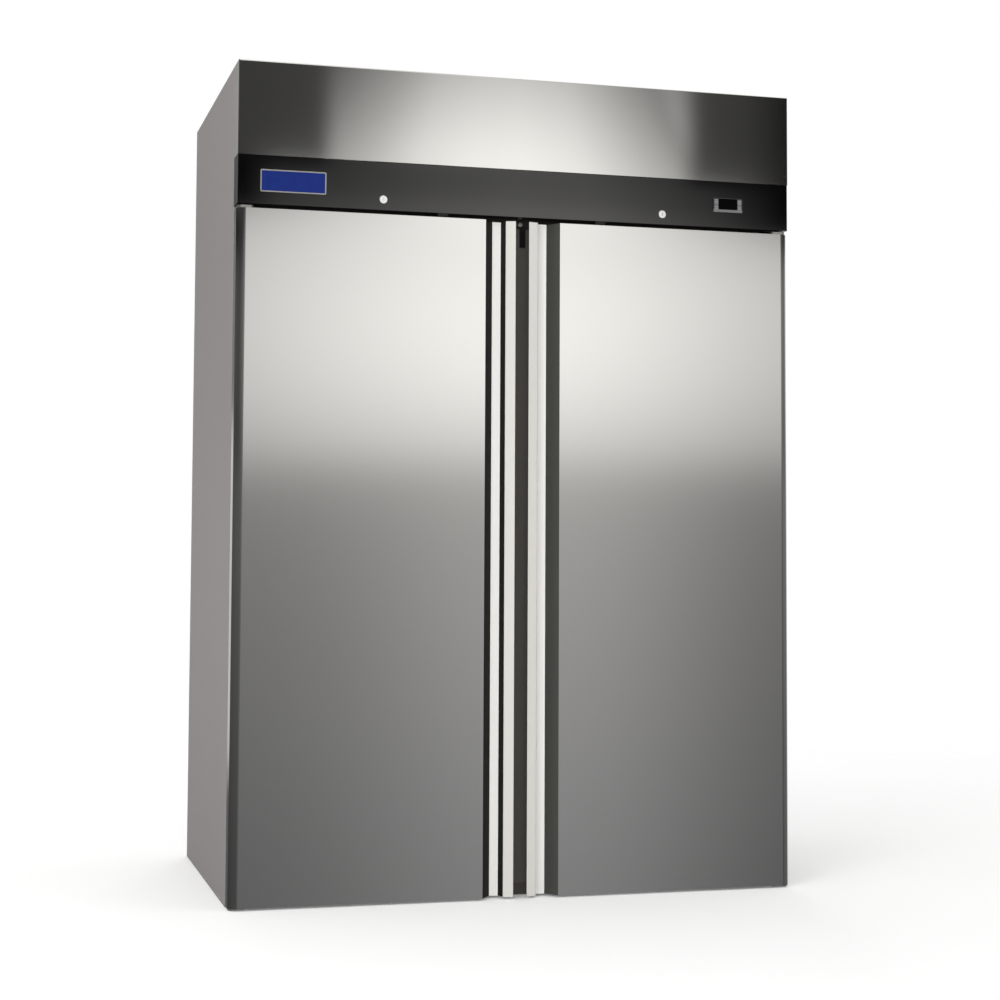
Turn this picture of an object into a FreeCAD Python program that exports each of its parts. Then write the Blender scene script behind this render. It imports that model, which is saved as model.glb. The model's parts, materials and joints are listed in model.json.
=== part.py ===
import FreeCAD, Part
import math
import os

# Two-section reach-in freezer. Millimetres, +Z up, the front looks along -Y.
# The origin is the centre of the cabinet's footprint, on the floor.

V = FreeCAD.Vector

# Overall size
width = 1332.0
depth = 815.0
height = 1895.0

# Outer shell of folded sheet
sheet = 1.2
shell_flange = 25.0
shell_hem = 20.0
rail_plate = 4.8
rail_height = 60.0

# Front, from the top down
header_height = 215.0
header_bend = 3.0
strip_height = 111.0
strip_recess = 3.0
strip_wall = 1.5
strip_return = 30.0
door_top_gap = 10.0
door_floor_gap = 5.0
door_thickness = 54.0
gasket_gap = 8.0

# Insulated box
side_wall = 60.0
back_wall = 60.0
floor_wall = 62.0
ceiling_wall = 65.0
door_overlap = 44.0
liner_sheet = 1.0
breaker_width = 35.0

# Base and its leg sockets
base_height = 12.0
base_rim = 60.0
base_sheet = 2.0
boss_radius = 14.0
boss_height = 30.0
leg_thread_radius = 6.0
leg_thread_depth = 32.0
leg_inset = 50.0

# Mullion between the two sections
mullion_width = 100.0
mullion_depth = 60.0
mullion_wall = 2.0
mullion_corner = 4.0
cover_width = 13.0
cover_height = 48.5
cover_thickness = 5.0
cover_drop = 14.5
cover_offset = 15.0
cover_corner = 2.0

# Door skin and caps
meeting_gap = 32.4
door_sheet = 1.0
door_edge_radius = 19.5
door_fold_radius = 2.0
door_return = 20.0
cap_height = 14.0
bulge_depth = 14.0
bulge_side_margin = 70.0
bulge_meeting_margin = 45.0
bulge_end_margin = 85.0
bulge_corner = 20.0

# Recessed grip along each door's meeting edge, from its lip to the face
lip_run = 22.5
lip_rise = 6.0
lip_trim = 2.5
lip_back = 2.0
lip_tip = 0.8
grip_depth = 32.0
grip_run = 6.5
grip_rise = 22.0
grip_floor = 20.6
grip_wall_run = 23.9
channel_wall = 3.0
channel_ledge = 15.5
channel_inset = 14.7
floor_trim = 1.0

# Magnetic gasket
gasket_width = 12.0
gasket_clearance = 0.3
gasket_meeting_margin = 3.5
gasket_side_margin = 36.0
gasket_end_margin = 30.0
gasket_corner = 6.0

# Hinges
pivot_side_inset = 18.0
pivot_face_inset = 24.0
pin_radius = 5.0
pin_length = 12.0
running_clearance = 0.05
bracket_plate = 3.5
bracket_top_plate = 6.5
bracket_door_clearance = 1.2
bracket_width = 38.0
bracket_side_inset = 2.0
bracket_nose = 12.0
bracket_corner = 8.0
bracket_flange = 38.0
bracket_tail = 32.0
bracket_screw_pitch = 18.0
bracket_screw_rise = 24.0
bracket_screw_back = 16.0
bracket_pocket_gap = 0.5

# One size of screw is used everywhere
screw_head_radius = 5.0
screw_head_height = 2.0
screw_shank_radius = 3.0
screw_shank_length = 9.0
screw_socket_radius = 1.6
screw_socket_depth = 1.2
middle_screw_rise = 11.5
middle_screw_offset = 10.5

# Key locks, a little inward and right of the middle of their doors
lock_height = 24.0
lock_inset = 3.0
lock_offset = 6.0
lock_head_radius = 9.5
lock_head_height = 2.0
lock_head_edge = 0.8
lock_barrel_radius = 8.0
lock_barrel_length = 22.0
keyway_width = 2.0
keyway_height = 8.0
keyway_depth = 1.2
cam_width = 12.0
cam_thickness = 3.0
cam_reach = 42.0
cam_clearance = 1.0

# Name plate
badge_width = 150.0
badge_height = 51.0
badge_side_inset = 51.5
badge_centre_height = 53.5
badge_thickness = 0.8
badge_border = 2.5
badge_border_rise = 0.6
badge_corner = 3.0

# Controller
display_width = 74.0
display_height = 34.0
display_side_inset = 118.0
display_centre_height = 54.0
display_flange = 2.4
display_corner = 2.0
display_body_inset = 1.8
display_body_length = 50.0
display_cutout_clearance = 0.2
window_width = 47.5
window_height = 26.5
window_raise = 2.4
window_thickness = 0.8
window_corner = 1.0
key_width = 9.5
key_height = 13.0
key_length = 3.4
key_proud = 0.4
key_side_gap = 0.2
key_travel = 1.0
key_stop_gap = 0.2
key_window_gap = 1.2
key_pitch = 14.0
key_corner = 0.6

# Door sensors in the gap over the doors
sensor_width = 24.0
sensor_height = 7.0
sensor_depth = 20.0
sensor_centre = 191.0
sensor_front_inset = 2.0
sensor_corner = 1.5

# Shelves, pilasters and clips
shelf_first = 128.0
shelf_top_room = 325.0
shelf_count = 3
shelf_thickness = 8.0
shelf_rim = 8.0
shelf_bar = 3.0
shelf_gap = 26.0
shelf_rows = 4
shelf_corner = 6.0
shelf_centre_gap = 5.0
shelf_side_gap = 7.0
shelf_end_gap = 5.5
pilaster_width = 24.0
pilaster_depth = 8.0
pilaster_wall = 1.5
pilaster_bottom = 60.0
pilaster_top_gap = 13.0
pilaster_slot_width = 8.0
pilaster_slot_height = 14.0
pilaster_slot_pitch = 50.0
pilaster_front_inset = 35.0
pilaster_back_inset = 75.0
centre_pilaster_offset = 16.0
clip_width = 16.0
clip_reach = 14.0
clip_height = 12.0

# Evaporator under the ceiling at the back
evap_side_gap = 170.0
evap_back_gap = 27.5
evap_depth = 250.0
evap_drop = 230.0
evap_sheet = 1.5
evap_fan_end_gap = 112.0
evap_fan_radius = 90.0
evap_fan_opening = 98.0
evap_fan_depth = 22.0
evap_fan_setback = 14.0
evap_ring_width = 8.0
evap_ring_depth = 5.0
evap_motor_radius = 30.0
evap_motor_length = 42.0
evap_motor_gap = 4.0
evap_strap_width = 30.0
evap_strap_thickness = 4.0
evap_coil_side_gap = 30.0
evap_coil_back_gap = 20.0
evap_coil_depth = 125.0
evap_coil_height = 120.0
evap_coil_drop = 25.0
evap_coil_end = 3.0
evap_fin_count = 60

# Fans and their motors
hub_radius = 22.0
shaft_radius = 4.0
shaft_end_gap = 1.0
blade_thickness = 2.0
blade_count = 5
blade_pitch_angle = 27.0
blade_chord_share = 0.5
motor_edge_share = 0.15

# Condensing unit on the machine deck
unit_depth = 512.0
compressor_bay = 400.0
unit_right_share = 0.46
unit_front_share = 0.36
unit_rim = 16.0
unit_sheet = 2.5
condenser_side_inset = 30.0
condenser_front_inset = 22.0
condenser_width = 420.0
condenser_thickness = 66.0
condenser_rise = 262.0
condenser_end = 3.0
condenser_fin_count = 56
shroud_depth = 48.0
shroud_wall = 1.5
condenser_fan_radius = 115.0
condenser_fan_opening = 122.0
condenser_fan_depth = 30.0
condenser_fan_overlap = 12.0
condenser_motor_radius = 42.0
condenser_motor_length = 62.0
condenser_motor_gap = 5.0
pedestal_width = 60.0
pedestal_foot = 90.0
pedestal_plate = 5.0
fin_tooth_share = 0.5
fin_root_share = 0.15

# Compressor
compressor_side_inset = 160.0
compressor_front_inset = 332.0
compressor_radius = 92.0
compressor_height = 205.0
compressor_dome = 38.0
compressor_lift = 12.0
compressor_seam = 4.0
compressor_foot = 4.0
compressor_foot_half = 98.0
compressor_foot_corner = 18.0
mount_radius = 14.0
mount_inset = 18.0
terminal_width = 64.0
terminal_height = 74.0
terminal_depth = 20.0

# Refrigerant lines and their drier
line_radius = 5.0
line_bend = 26.0
line_wall_clearance = 0.5
line_back_gap = 12.5
discharge_height = 82.0
discharge_offset = 60.0
discharge_side_inset = 33.0
liquid_height = 30.0
liquid_side_inset = 15.0
liquid_offset = 110.0
liquid_coil_drop = 75.0
suction_offset = 70.0
suction_height = 140.0
suction_coil_drop = 45.0
drier_radius = 14.0
drier_length = 90.0
drier_taper = 12.0
drier_front_inset = 162.0

# Electrical box
control_box_left_share = 0.2
control_box_width = 170.0
control_box_front_inset = 62.0
control_box_depth = 260.0
control_box_height = 160.0
control_box_wall = 1.5
control_box_lid = 3.0
control_box_lip = 4.0

# Rear grille and the supply cord's gland
grille_recess = 22.0
grille_sheet = 1.5
grille_slot_height = 7.0
grille_slot_pitch = 18.0
grille_slot_gap = 42.0
grille_margin = 95.0
grille_banks = 4
grille_rows = 13
gland_side_inset = 60.0
gland_height = 60.0
gland_radius = 11.0
gland_nut_radius = 15.0
gland_nut = 6.0
gland_reach = 18.0
gland_bore = 4.5
gland_inside = 12.0

# Cuts run past the face that they open by the overrun; nearer points count as one
overrun = 2.0
same_point = 0.001

# Planes that the pieces share, front to back and bottom to top
half_width = width / 2
y_front = -depth / 2
y_back = depth / 2
y_strip = y_front + strip_recess
y_door_back = y_front + door_thickness
y_cabinet = y_door_back + gasket_gap
y_frame = y_cabinet + sheet
y_foam = y_frame + rail_plate
y_back_skin = y_back - sheet
y_back_inside = y_back_skin - sheet
y_liner_back = y_back - back_wall
z_strip_top = height - header_height
z_strip = z_strip_top - strip_height
z_door_top = z_strip - door_top_gap
z_door = door_floor_gap
z_ceiling = z_door_top - door_overlap
z_floor = floor_wall
z_evap = z_ceiling - evap_drop
z_deck = z_ceiling + ceiling_wall
z_breaker_top = z_ceiling + breaker_width
z_breaker_bottom = z_floor - breaker_width
x_skin = half_width - sheet
x_liner = half_width - side_wall
half_mullion = mullion_width / 2
y_mullion_back = y_cabinet + mullion_depth

# Places across a door, measured outward from the middle of the cabinet
x_lip = meeting_gap / 2
x_lip_root = x_lip + lip_run
x_grip_wall = x_lip_root + grip_run
x_grip_floor = x_grip_wall + grip_floor
x_face = x_grip_floor + grip_wall_run
x_channel = x_lip + channel_inset
x_channel_inside = x_channel + channel_wall
x_ledge = x_face + channel_ledge
x_pivot = half_width - pivot_side_inset
y_pivot = y_front + pivot_face_inset
x_door_middle = (x_lip + half_width) / 2
x_bulge = x_lip + bulge_meeting_margin
x_bulge_end = half_width - bulge_side_margin

# Depths across the grip, measured back from the door's face
q_floor = grip_depth + floor_trim
q_root = grip_depth - grip_rise + lip_trim
q_tip = q_root - lip_rise
q_under = q_floor + channel_wall
q_inside = door_thickness - door_sheet
q_ledge = door_sheet + channel_wall
channel_slope = grip_wall_run / q_floor
channel_shift = channel_wall * math.hypot(grip_wall_run, q_floor) / q_floor
channel_back = [
    (x_channel_inside, q_under, 0),
    (x_face - q_under * channel_slope + channel_shift, q_under, 0),
    (x_face - q_ledge * channel_slope + channel_shift, q_ledge, 0),
    (x_ledge, q_ledge, 0),
]

# Hinge brackets
z_bracket_top = z_door_top + bracket_door_clearance
z_bracket_bottom = z_door - bracket_door_clearance - bracket_plate
bracket_outer = half_width - bracket_side_inset
bracket_inner = bracket_outer - bracket_width
bracket_middle = (bracket_inner + bracket_outer) / 2

# Locks and their cams
z_lock = z_strip + lock_height
y_cam = y_strip + lock_barrel_length
cam_sweep = math.hypot(cam_reach, cam_width / 2)

# Controller
x_display = half_width - display_side_inset - display_width / 2
z_display = z_strip + display_centre_height
y_display = y_strip - display_flange
y_key = y_display - key_proud
key_offset = window_width / 2 + key_window_gap + key_width / 2

# Shelves
shelf_inner = shelf_centre_gap
shelf_outer = x_liner - pilaster_depth - shelf_side_gap
y_shelf_front = y_mullion_back + pilaster_depth + shelf_end_gap
y_shelf_back = y_liner_back - pilaster_depth - shelf_end_gap
z_pilaster = z_floor + pilaster_bottom
z_pilaster_top = z_evap - pilaster_top_gap
shelf_pitch = (z_evap - shelf_top_room - z_floor - shelf_first) / (shelf_count - 1)

# Evaporator
evap_half_width = x_liner - evap_side_gap
evap_back = y_liner_back - evap_back_gap
evap_front = evap_back - evap_depth
evap_fan_offset = evap_half_width - evap_fan_end_gap - evap_fan_opening
evap_coil_half_width = evap_half_width - evap_coil_side_gap
evap_coil_back = evap_back - evap_coil_back_gap
evap_coil_front = evap_coil_back - evap_coil_depth
z_evap_fan = (z_evap + z_ceiling) / 2
y_evap_fan = evap_front + evap_fan_setback
y_evap_motor = y_evap_fan + evap_fan_depth + evap_motor_gap
z_evap_coil = z_ceiling - evap_coil_drop - evap_coil_height

# Condensing unit: it and the electrical box share the room left on the deck
y_grille = y_back - grille_recess
unit_width = compressor_bay + condenser_width + condenser_side_inset
spare_width = 2 * x_skin - unit_width - control_box_width
spare_depth = y_grille - y_foam - unit_depth
unit_right = x_skin - spare_width * unit_right_share
unit_left = unit_right - unit_width
unit_front = y_foam + spare_depth * unit_front_share
unit_back = unit_front + unit_depth
control_box_left = spare_width * control_box_left_share - x_skin
control_box_front = unit_front + control_box_front_inset
condenser_right = unit_right - condenser_side_inset
condenser_left = condenser_right - condenser_width
condenser_front = unit_front + condenser_front_inset
compressor_x = unit_left + compressor_side_inset
compressor_y = unit_front + compressor_front_inset
discharge_x = condenser_left - discharge_offset
liquid_x = condenser_left - liquid_offset
suction_x = compressor_x + suction_offset
drier_y = unit_front + drier_front_inset
gland_x = gland_side_inset - half_width
z_unit = z_deck + unit_sheet
condenser_back = condenser_front + condenser_thickness
condenser_middle = (condenser_left + condenser_right) / 2
z_condenser_fan = z_unit + condenser_rise / 2
shroud_back = condenser_back + shroud_depth
y_condenser_fan = shroud_back - condenser_fan_overlap
y_condenser_motor = y_condenser_fan + condenser_fan_depth + condenser_motor_gap
z_compressor = z_unit + compressor_lift
y_lines = y_liner_back - line_back_gap


# Shared shapes


def box(x0, x1, y0, y1, z0, z1):
    low = V(min(x0, x1), min(y0, y1), min(z0, z1))
    return Part.makeBox(abs(x1 - x0), abs(y1 - y0), abs(z1 - z0), low)


def rod(radius, start, end):
    return Part.makeCylinder(radius, (end - start).Length, start, end - start)


def rectangle(u0, u1, v0, v1, radius=0):
    return [(u0, v0, radius), (u1, v0, radius), (u1, v1, radius), (u0, v1, radius)]


def rounded_loop(corners, place):
    """Closed wire through (u, v, radius) corners, with a tangent arc where a radius is given."""
    stretches = []
    for i, (u, v, radius) in enumerate(corners):
        here = V(u, v, 0)
        if radius == 0:
            stretches.append((here, None, here))
            continue
        before = V(*corners[i - 1][:2], 0) - here
        after = V(*corners[(i + 1) % len(corners)][:2], 0) - here
        before.normalize()
        after.normalize()
        half_angle = before.getAngle(after) / 2
        cut = radius / math.tan(half_angle)
        inward = before + after
        inward.normalize()
        middle = here + inward * (radius / math.sin(half_angle) - radius)
        stretches.append((here + before * cut, middle, here + after * cut))
    edges = []
    for i, (first, middle, last) in enumerate(stretches):
        following = stretches[(i + 1) % len(stretches)][0]
        if middle:
            edges.append(Part.Arc(place(first), place(middle), place(last)).toShape())
        if (following - last).Length > same_point:
            edges.append(Part.makeLine(place(last), place(following)))
    return Part.Wire(edges)


def place_on(plane, level):
    if plane == "xy":
        return lambda p: V(p.x, p.y, level)
    if plane == "xz":
        return lambda p: V(p.x, level, p.y)
    return lambda p: V(level, p.x, p.y)


def slab(plane, loops, start, end):
    """Solid between two levels of a plane; the loops after the first are holes."""
    place = place_on(plane, min(start, end))
    wires = [rounded_loop(corners, place) for corners in loops]
    face = Part.makeFace(Part.makeCompound(wires), "Part::FaceMakerBullseye")
    return face.extrude(place_on(plane, max(start, end))(V(0, 0, 0)) - place(V(0, 0, 0)))


def edges_where(shape, test):
    return [edge for edge in shape.Edges if all(test(vertex.Point) for vertex in edge.Vertexes)]


def tube(corners):
    """Refrigerant line along straight runs joined by tangent arcs."""
    edges = []
    last = corners[0]
    for before, here, after in zip(corners, corners[1:], corners[2:]):
        back = before - here
        ahead = after - here
        back.normalize()
        ahead.normalize()
        half_angle = back.getAngle(ahead) / 2
        cut = line_bend / math.tan(half_angle)
        inward = back + ahead
        inward.normalize()
        middle = here + inward * (line_bend / math.sin(half_angle) - line_bend)
        edges.append(Part.makeLine(last, here + back * cut))
        last = here + ahead * cut
        edges.append(Part.Arc(here + back * cut, middle, last).toShape())
    edges.append(Part.makeLine(last, corners[-1]))
    path = Part.Wire(edges)
    circle = Part.Wire(Part.makeCircle(line_radius, corners[0], corners[1] - corners[0]))
    return path.makePipeShell([circle], True, False)


def finned_block(x0, x1, y0, y1, z0, z1, count):
    """Finned coil: upright fins on both sides of a flat core."""
    pitch = (x1 - x0) / count
    core = (z1 - z0) * fin_root_share / 2
    middle = (z0 + z1) / 2
    upper = []
    lower = []
    for i in range(count):
        left = x0 + i * pitch
        right = left + pitch * fin_tooth_share
        upper += [(left, z1, 0), (right, z1, 0), (right, middle + core, 0)]
        lower += [(left, z0, 0), (right, z0, 0), (right, middle - core, 0)]
        if i < count - 1:
            upper.append((left + pitch, middle + core, 0))
            lower.append((left + pitch, middle - core, 0))
    return slab("xz", [upper + lower[::-1]], y0, y1)


def fan(x, z, y_start, length, tip_radius):
    """Hub with pitched blades, turning about an axis along Y."""
    chord = tip_radius * blade_chord_share
    half = blade_thickness / 2
    y_end = y_start + length
    swept = rod(tip_radius, V(x, y_start, z), V(x, y_end, z))
    hub = rod(hub_radius, V(x, y_start, z), V(x, y_end, z))
    bore = rod(shaft_radius + running_clearance, V(x, y_start - overrun, z), V(x, y_end + overrun, z))
    blades = []
    for i in range(blade_count):
        blade = box(hub_radius / 2, tip_radius, -half, half, -chord / 2, chord / 2)
        blade.rotate(V(0, 0, 0), V(1, 0, 0), blade_pitch_angle)
        blade.rotate(V(0, 0, 0), V(0, 1, 0), 360 * i / blade_count)
        blade.translate(V(x, (y_start + y_end) / 2, z))
        blades.append(blade.common(swept))
    return hub.fuse(blades).cut(bore)


def fan_motor(x, z, y_start, length, radius, fan_start):
    """Round motor whose shaft reaches through the hub of the fan in front of it."""
    body = rod(radius, V(x, y_start, z), V(x, y_start + length, z))
    rear = edges_where(body, lambda p: p.y > y_start + length / 2)
    body = body.makeFillet(radius * motor_edge_share, rear)
    return body.fuse(rod(shaft_radius, V(x, fan_start + shaft_end_gap, z), V(x, y_start, z)))


def save(name, *pieces):
    """Write one node; a node of several pieces keeps each as its own solid."""
    solids = [solid for piece in pieces for solid in piece.Solids]
    shape = solids[0] if len(solids) == 1 else Part.makeCompound(solids)
    shape.exportStep("parts/" + name + ".step")


# Screws: each place is where the head sits and the way that the shank points


def screw_places():
    places = []
    for side in (-1, 1):
        for offset in (-bracket_screw_pitch / 2, bracket_screw_pitch / 2):
            x = side * (bracket_middle + offset)
            on_flange = V(x, y_cabinet - bracket_plate, z_bracket_top + bracket_screw_rise)
            under_tail = V(x, y_cabinet + bracket_screw_back, z_bracket_bottom + screw_head_height)
            places += [(on_flange, V(0, 1, 0)), (under_tail, V(0, 0, 1))]
    on_rail = V(middle_screw_offset, y_frame, z_breaker_top + middle_screw_rise)
    places.append((on_rail, V(0, 1, 0)))
    return places


def screw_shanks():
    return [rod(screw_shank_radius, seat, seat + way * screw_shank_length) for seat, way in screw_places()]


def screw_heads():
    return [rod(screw_head_radius, seat - way * screw_head_height, seat) for seat, way in screw_places()]


def screws():
    pieces = []
    for head, shank, (seat, way) in zip(screw_heads(), screw_shanks(), screw_places()):
        face = seat - way * screw_head_height
        socket = rod(screw_socket_radius, face - way * overrun, face + way * screw_socket_depth)
        pieces.append(head.fuse(shank).cut(socket))
    return pieces


# Cabinet shell and base


def bracket_pocket(side):
    """Room for a bottom bracket's tail under the cabinet's front corner."""
    back = y_cabinet + bracket_tail + bracket_pocket_gap
    return box(side * (bracket_inner - bracket_pocket_gap), side * (bracket_outer + bracket_pocket_gap),
               y_cabinet - overrun, back, -overrun, z_bracket_bottom + bracket_plate)


def side_panel(side):
    flange = half_width - shell_flange
    corners = [
        (side * flange, y_cabinet, 0),
        (side * half_width, y_cabinet, sheet),
        (side * half_width, y_back, sheet),
        (side * flange, y_back, 0),
        (side * flange, y_back_skin, 0),
        (side * x_skin, y_back_skin, 0),
        (side * x_skin, y_frame, 0),
        (side * flange, y_frame, 0),
    ]
    hem = box(side * (half_width - shell_hem), side * (x_skin + sheet / 2), y_frame, y_back_skin,
              height - sheet, height)
    return slab("xy", [corners], 0, height).fuse(hem).cut([bracket_pocket(side)] + screw_shanks())


def back_panel():
    return box(-x_skin, x_skin, y_back_inside, y_back_skin, 0, z_deck)


def line_passages():
    radius = line_radius + line_wall_clearance
    return [rod(radius, V(x, y_lines, z_evap), V(x, y_lines, height)) for x in (liquid_x, suction_x)]


def top_deck():
    deck = box(-x_skin, x_skin, y_foam, y_back_inside, z_deck - base_sheet, z_deck)
    rail = box(-x_skin, x_skin, y_frame, y_foam, z_breaker_top, z_breaker_top + rail_height)
    return deck.fuse(rail).cut(screw_shanks() + line_passages())


def leg_places():
    across = x_skin - leg_inset
    return [(x, y) for x in (-across, across) for y in (y_frame + leg_inset, y_back_inside - leg_inset)]


def leg_bosses():
    return [rod(boss_radius, V(x, y, 0), V(x, y, base_height + boss_height)) for x, y in leg_places()]


def base_pan():
    pan = box(-x_skin, x_skin, y_frame, y_back_inside, 0, base_height)
    hollow_x = x_skin - base_rim
    hollow = box(-hollow_x, hollow_x, y_frame + base_rim, y_back_inside - base_rim,
                 -overrun, base_height - base_sheet)
    sill = box(-x_skin, x_skin, y_frame, y_foam, 0, z_breaker_bottom)
    sockets = [rod(leg_thread_radius, V(x, y, -overrun), V(x, y, leg_thread_depth))
               for x, y in leg_places()]
    cuts = sockets + screw_shanks() + [bracket_pocket(-1), bracket_pocket(1)]
    return pan.cut(hollow).fuse([sill] + leg_bosses()).cut(cuts)


def cabinet_foam():
    block = box(-x_skin, x_skin, y_foam, y_back_inside, base_height, z_deck - base_sheet)
    reach = x_liner + liner_sheet
    cavity = box(-reach, reach, y_foam - overrun, y_liner_back + liner_sheet,
                 z_floor - liner_sheet, z_ceiling + liner_sheet)
    return block.cut([cavity] + leg_bosses() + line_passages() + screw_shanks())


# Inner liner, breaker strips and mullion


def liner_side(side):
    return box(side * x_liner, side * (x_liner + liner_sheet), y_foam, y_liner_back + liner_sheet,
               z_floor - liner_sheet, z_ceiling + liner_sheet)


def liner_back():
    return box(-x_liner, x_liner, y_liner_back, y_liner_back + liner_sheet, z_floor, z_ceiling)


def liner_floor():
    return box(-x_liner, x_liner, y_foam, y_liner_back + liner_sheet, z_floor - liner_sheet, z_floor)


def liner_ceiling():
    panel = box(-x_liner, x_liner, y_foam, y_liner_back + liner_sheet, z_ceiling, z_ceiling + liner_sheet)
    return panel.cut(line_passages())


def breaker_strips():
    strips = []
    for side in (-1, 1):
        strips.append(box(side * x_liner, side * (x_liner + breaker_width), y_cabinet, y_foam,
                          z_breaker_bottom, z_breaker_top))
    strips.append(box(-x_liner, x_liner, y_cabinet, y_foam, z_ceiling, z_breaker_top))
    strips.append(box(-x_liner, x_liner, y_cabinet, y_foam, z_breaker_bottom, z_floor))
    return strips


def mullion():
    outer = rectangle(-half_mullion, half_mullion, y_cabinet, y_mullion_back, mullion_corner)
    reach = half_mullion - mullion_wall
    inner = rectangle(-reach, reach, y_cabinet + mullion_wall, y_mullion_back - mullion_wall,
                      mullion_corner - mullion_wall)
    return slab("xy", [outer, inner], z_floor, z_ceiling)


def mullion_cover():
    top = z_strip - cover_drop
    left = cover_offset - cover_width / 2
    outline = rectangle(left, left + cover_width, top - cover_height, top, cover_corner)
    return slab("xz", [outline], y_cabinet - cover_thickness, y_cabinet)


# Header and control strip


def front_edges(shape, y, x_end, z_crest):
    """Edges where a folded front's face meets its ends and, if z_crest is given, its top."""
    picked = []
    for edge in shape.Edges:
        centre = edge.CenterOfMass
        at_end = abs(abs(centre.x) - x_end) < same_point
        at_crest = z_crest is not None and abs(centre.z - z_crest) < same_point
        if abs(centre.y - y) < same_point and (at_end or at_crest):
            picked.append(edge)
    return picked


def folded_front(y_face, wall, bend, z0, z1, has_top):
    """Front panel folded back to the cabinet at both ends, and over its top if it has one."""
    outer = box(-half_width, half_width, y_face, y_cabinet, z0, z1)
    crest = z1 - wall if has_top else z1 + overrun
    reach = half_width - wall
    inner = box(-reach, reach, y_face + wall, y_cabinet + overrun, z0 - overrun, crest)
    outer = outer.makeFillet(bend, front_edges(outer, y_face, half_width, z1 if has_top else None))
    inner_edges = front_edges(inner, y_face + wall, reach, crest if has_top else None)
    inner = inner.makeFillet(bend - wall, inner_edges)
    return outer.cut(inner)


def header_panel():
    return folded_front(y_front, sheet, header_bend, z_strip_top, height, True)


def lock_place(side):
    return side * (x_door_middle - lock_inset) + lock_offset


def cam_slot(side, level):
    """Room for a lock's cam to swing down through a wall whose top is at a level."""
    x = lock_place(side)
    inward = math.sqrt(cam_sweep ** 2 - (z_lock - level) ** 2) + cam_clearance
    outward = cam_width / 2 + cam_clearance
    return box(x - side * inward, x + side * outward,
               y_cam - cam_clearance, y_cam + cam_thickness + cam_clearance,
               z_lock - cam_sweep - cam_clearance, level + overrun)


def display_outline(margin, radius):
    across = display_width / 2 + margin
    up = display_height / 2 + margin
    return rectangle(x_display - across, x_display + across, z_display - up, z_display + up, radius)


def control_strip():
    strip = folded_front(y_strip, strip_wall, header_bend, z_strip, z_strip_top, False)
    reach = half_width - strip_wall
    bottom = box(-reach, reach, y_strip + strip_wall / 2, y_strip + strip_return,
                 z_strip, z_strip + strip_wall)
    cutout = slab("xz", [display_outline(display_cutout_clearance - display_body_inset, display_corner)],
                  y_strip - overrun, y_strip + strip_wall + overrun)
    cuts = [cutout]
    for side in (-1, 1):
        x = lock_place(side)
        cuts.append(cam_slot(side, z_strip))
        cuts.append(rod(lock_barrel_radius + running_clearance, V(x, y_strip - overrun, z_lock),
                        V(x, y_strip + strip_wall + overrun, z_lock)))
    return strip.fuse(bottom).cut(cuts)


def lock(side):
    """Lock plug with its cam, which points inward until the key turns it down."""
    x = lock_place(side)
    front = y_strip - lock_head_height
    head = rod(lock_head_radius, V(x, front, z_lock), V(x, y_strip, z_lock))
    head = head.makeFillet(lock_head_edge, edges_where(head, lambda p: p.y < front + lock_head_height / 2))
    barrel = rod(lock_barrel_radius, V(x, y_strip, z_lock), V(x, y_cam, z_lock))
    outline = rectangle(x - side * cam_reach, x + side * cam_width / 2,
                        z_lock - cam_width / 2, z_lock + cam_width / 2, cam_width / 2)
    cam = slab("xz", [outline], y_cam, y_cam + cam_thickness)
    keyway = box(x - keyway_width / 2, x + keyway_width / 2, front - overrun, front + keyway_depth,
                 z_lock - keyway_height / 2, z_lock + keyway_height / 2)
    return head.fuse([barrel, cam]).cut(keyway)


def badge_plate():
    left = -half_width + badge_side_inset
    right = left + badge_width
    bottom = z_strip + badge_centre_height - badge_height / 2
    top = bottom + badge_height
    front = y_strip - badge_thickness
    outer = rectangle(left, right, bottom, top, badge_corner)
    inner = rectangle(left + badge_border, right - badge_border, bottom + badge_border, top - badge_border,
                      badge_corner - badge_border / 2)
    border = slab("xz", [outer, inner], front - badge_border_rise, front)
    return slab("xz", [outer], front, y_strip).fuse(border)


def key_outline(side, level, margin):
    x = x_display + side * key_offset
    z = z_display + level * key_pitch / 2
    across = key_width / 2 + margin
    up = key_height / 2 + margin
    return rectangle(x - across, x + across, z - up, z + up, key_corner)


def key(side, level):
    return slab("xz", [key_outline(side, level, 0)], y_key, y_key + key_length)


def window_outline():
    across = window_width / 2
    middle = z_display + window_raise
    return rectangle(x_display - across, x_display + across,
                     middle - window_height / 2, middle + window_height / 2, window_corner)


def display_bezel():
    flange = slab("xz", [display_outline(0, display_corner)], y_display, y_strip)
    body = slab("xz", [display_outline(-display_body_inset, display_corner)],
                y_strip, y_strip + display_body_length)
    cuts = [slab("xz", [window_outline()], y_display - overrun, y_display + window_thickness)]
    key_room = key_length + key_travel + key_stop_gap
    for side in (-1, 1):
        for level in (-1, 1):
            outline = key_outline(side, level, key_side_gap)
            cuts.append(slab("xz", [outline], y_display - overrun, y_key + key_room))
    return flange.fuse(body).cut(cuts)


def display_window():
    return slab("xz", [window_outline()], y_display, y_display + window_thickness)


def door_sensor(side):
    x = side * sensor_centre
    bottom = z_strip - sensor_height
    outline = rectangle(x - sensor_width / 2, x + sensor_width / 2, bottom, z_strip)
    front = y_strip + sensor_front_inset
    housing = slab("xz", [outline], front, front + sensor_depth)
    return housing.makeFillet(sensor_corner, edges_where(housing, lambda p: p.z < bottom + same_point))


# Hinge brackets


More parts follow.
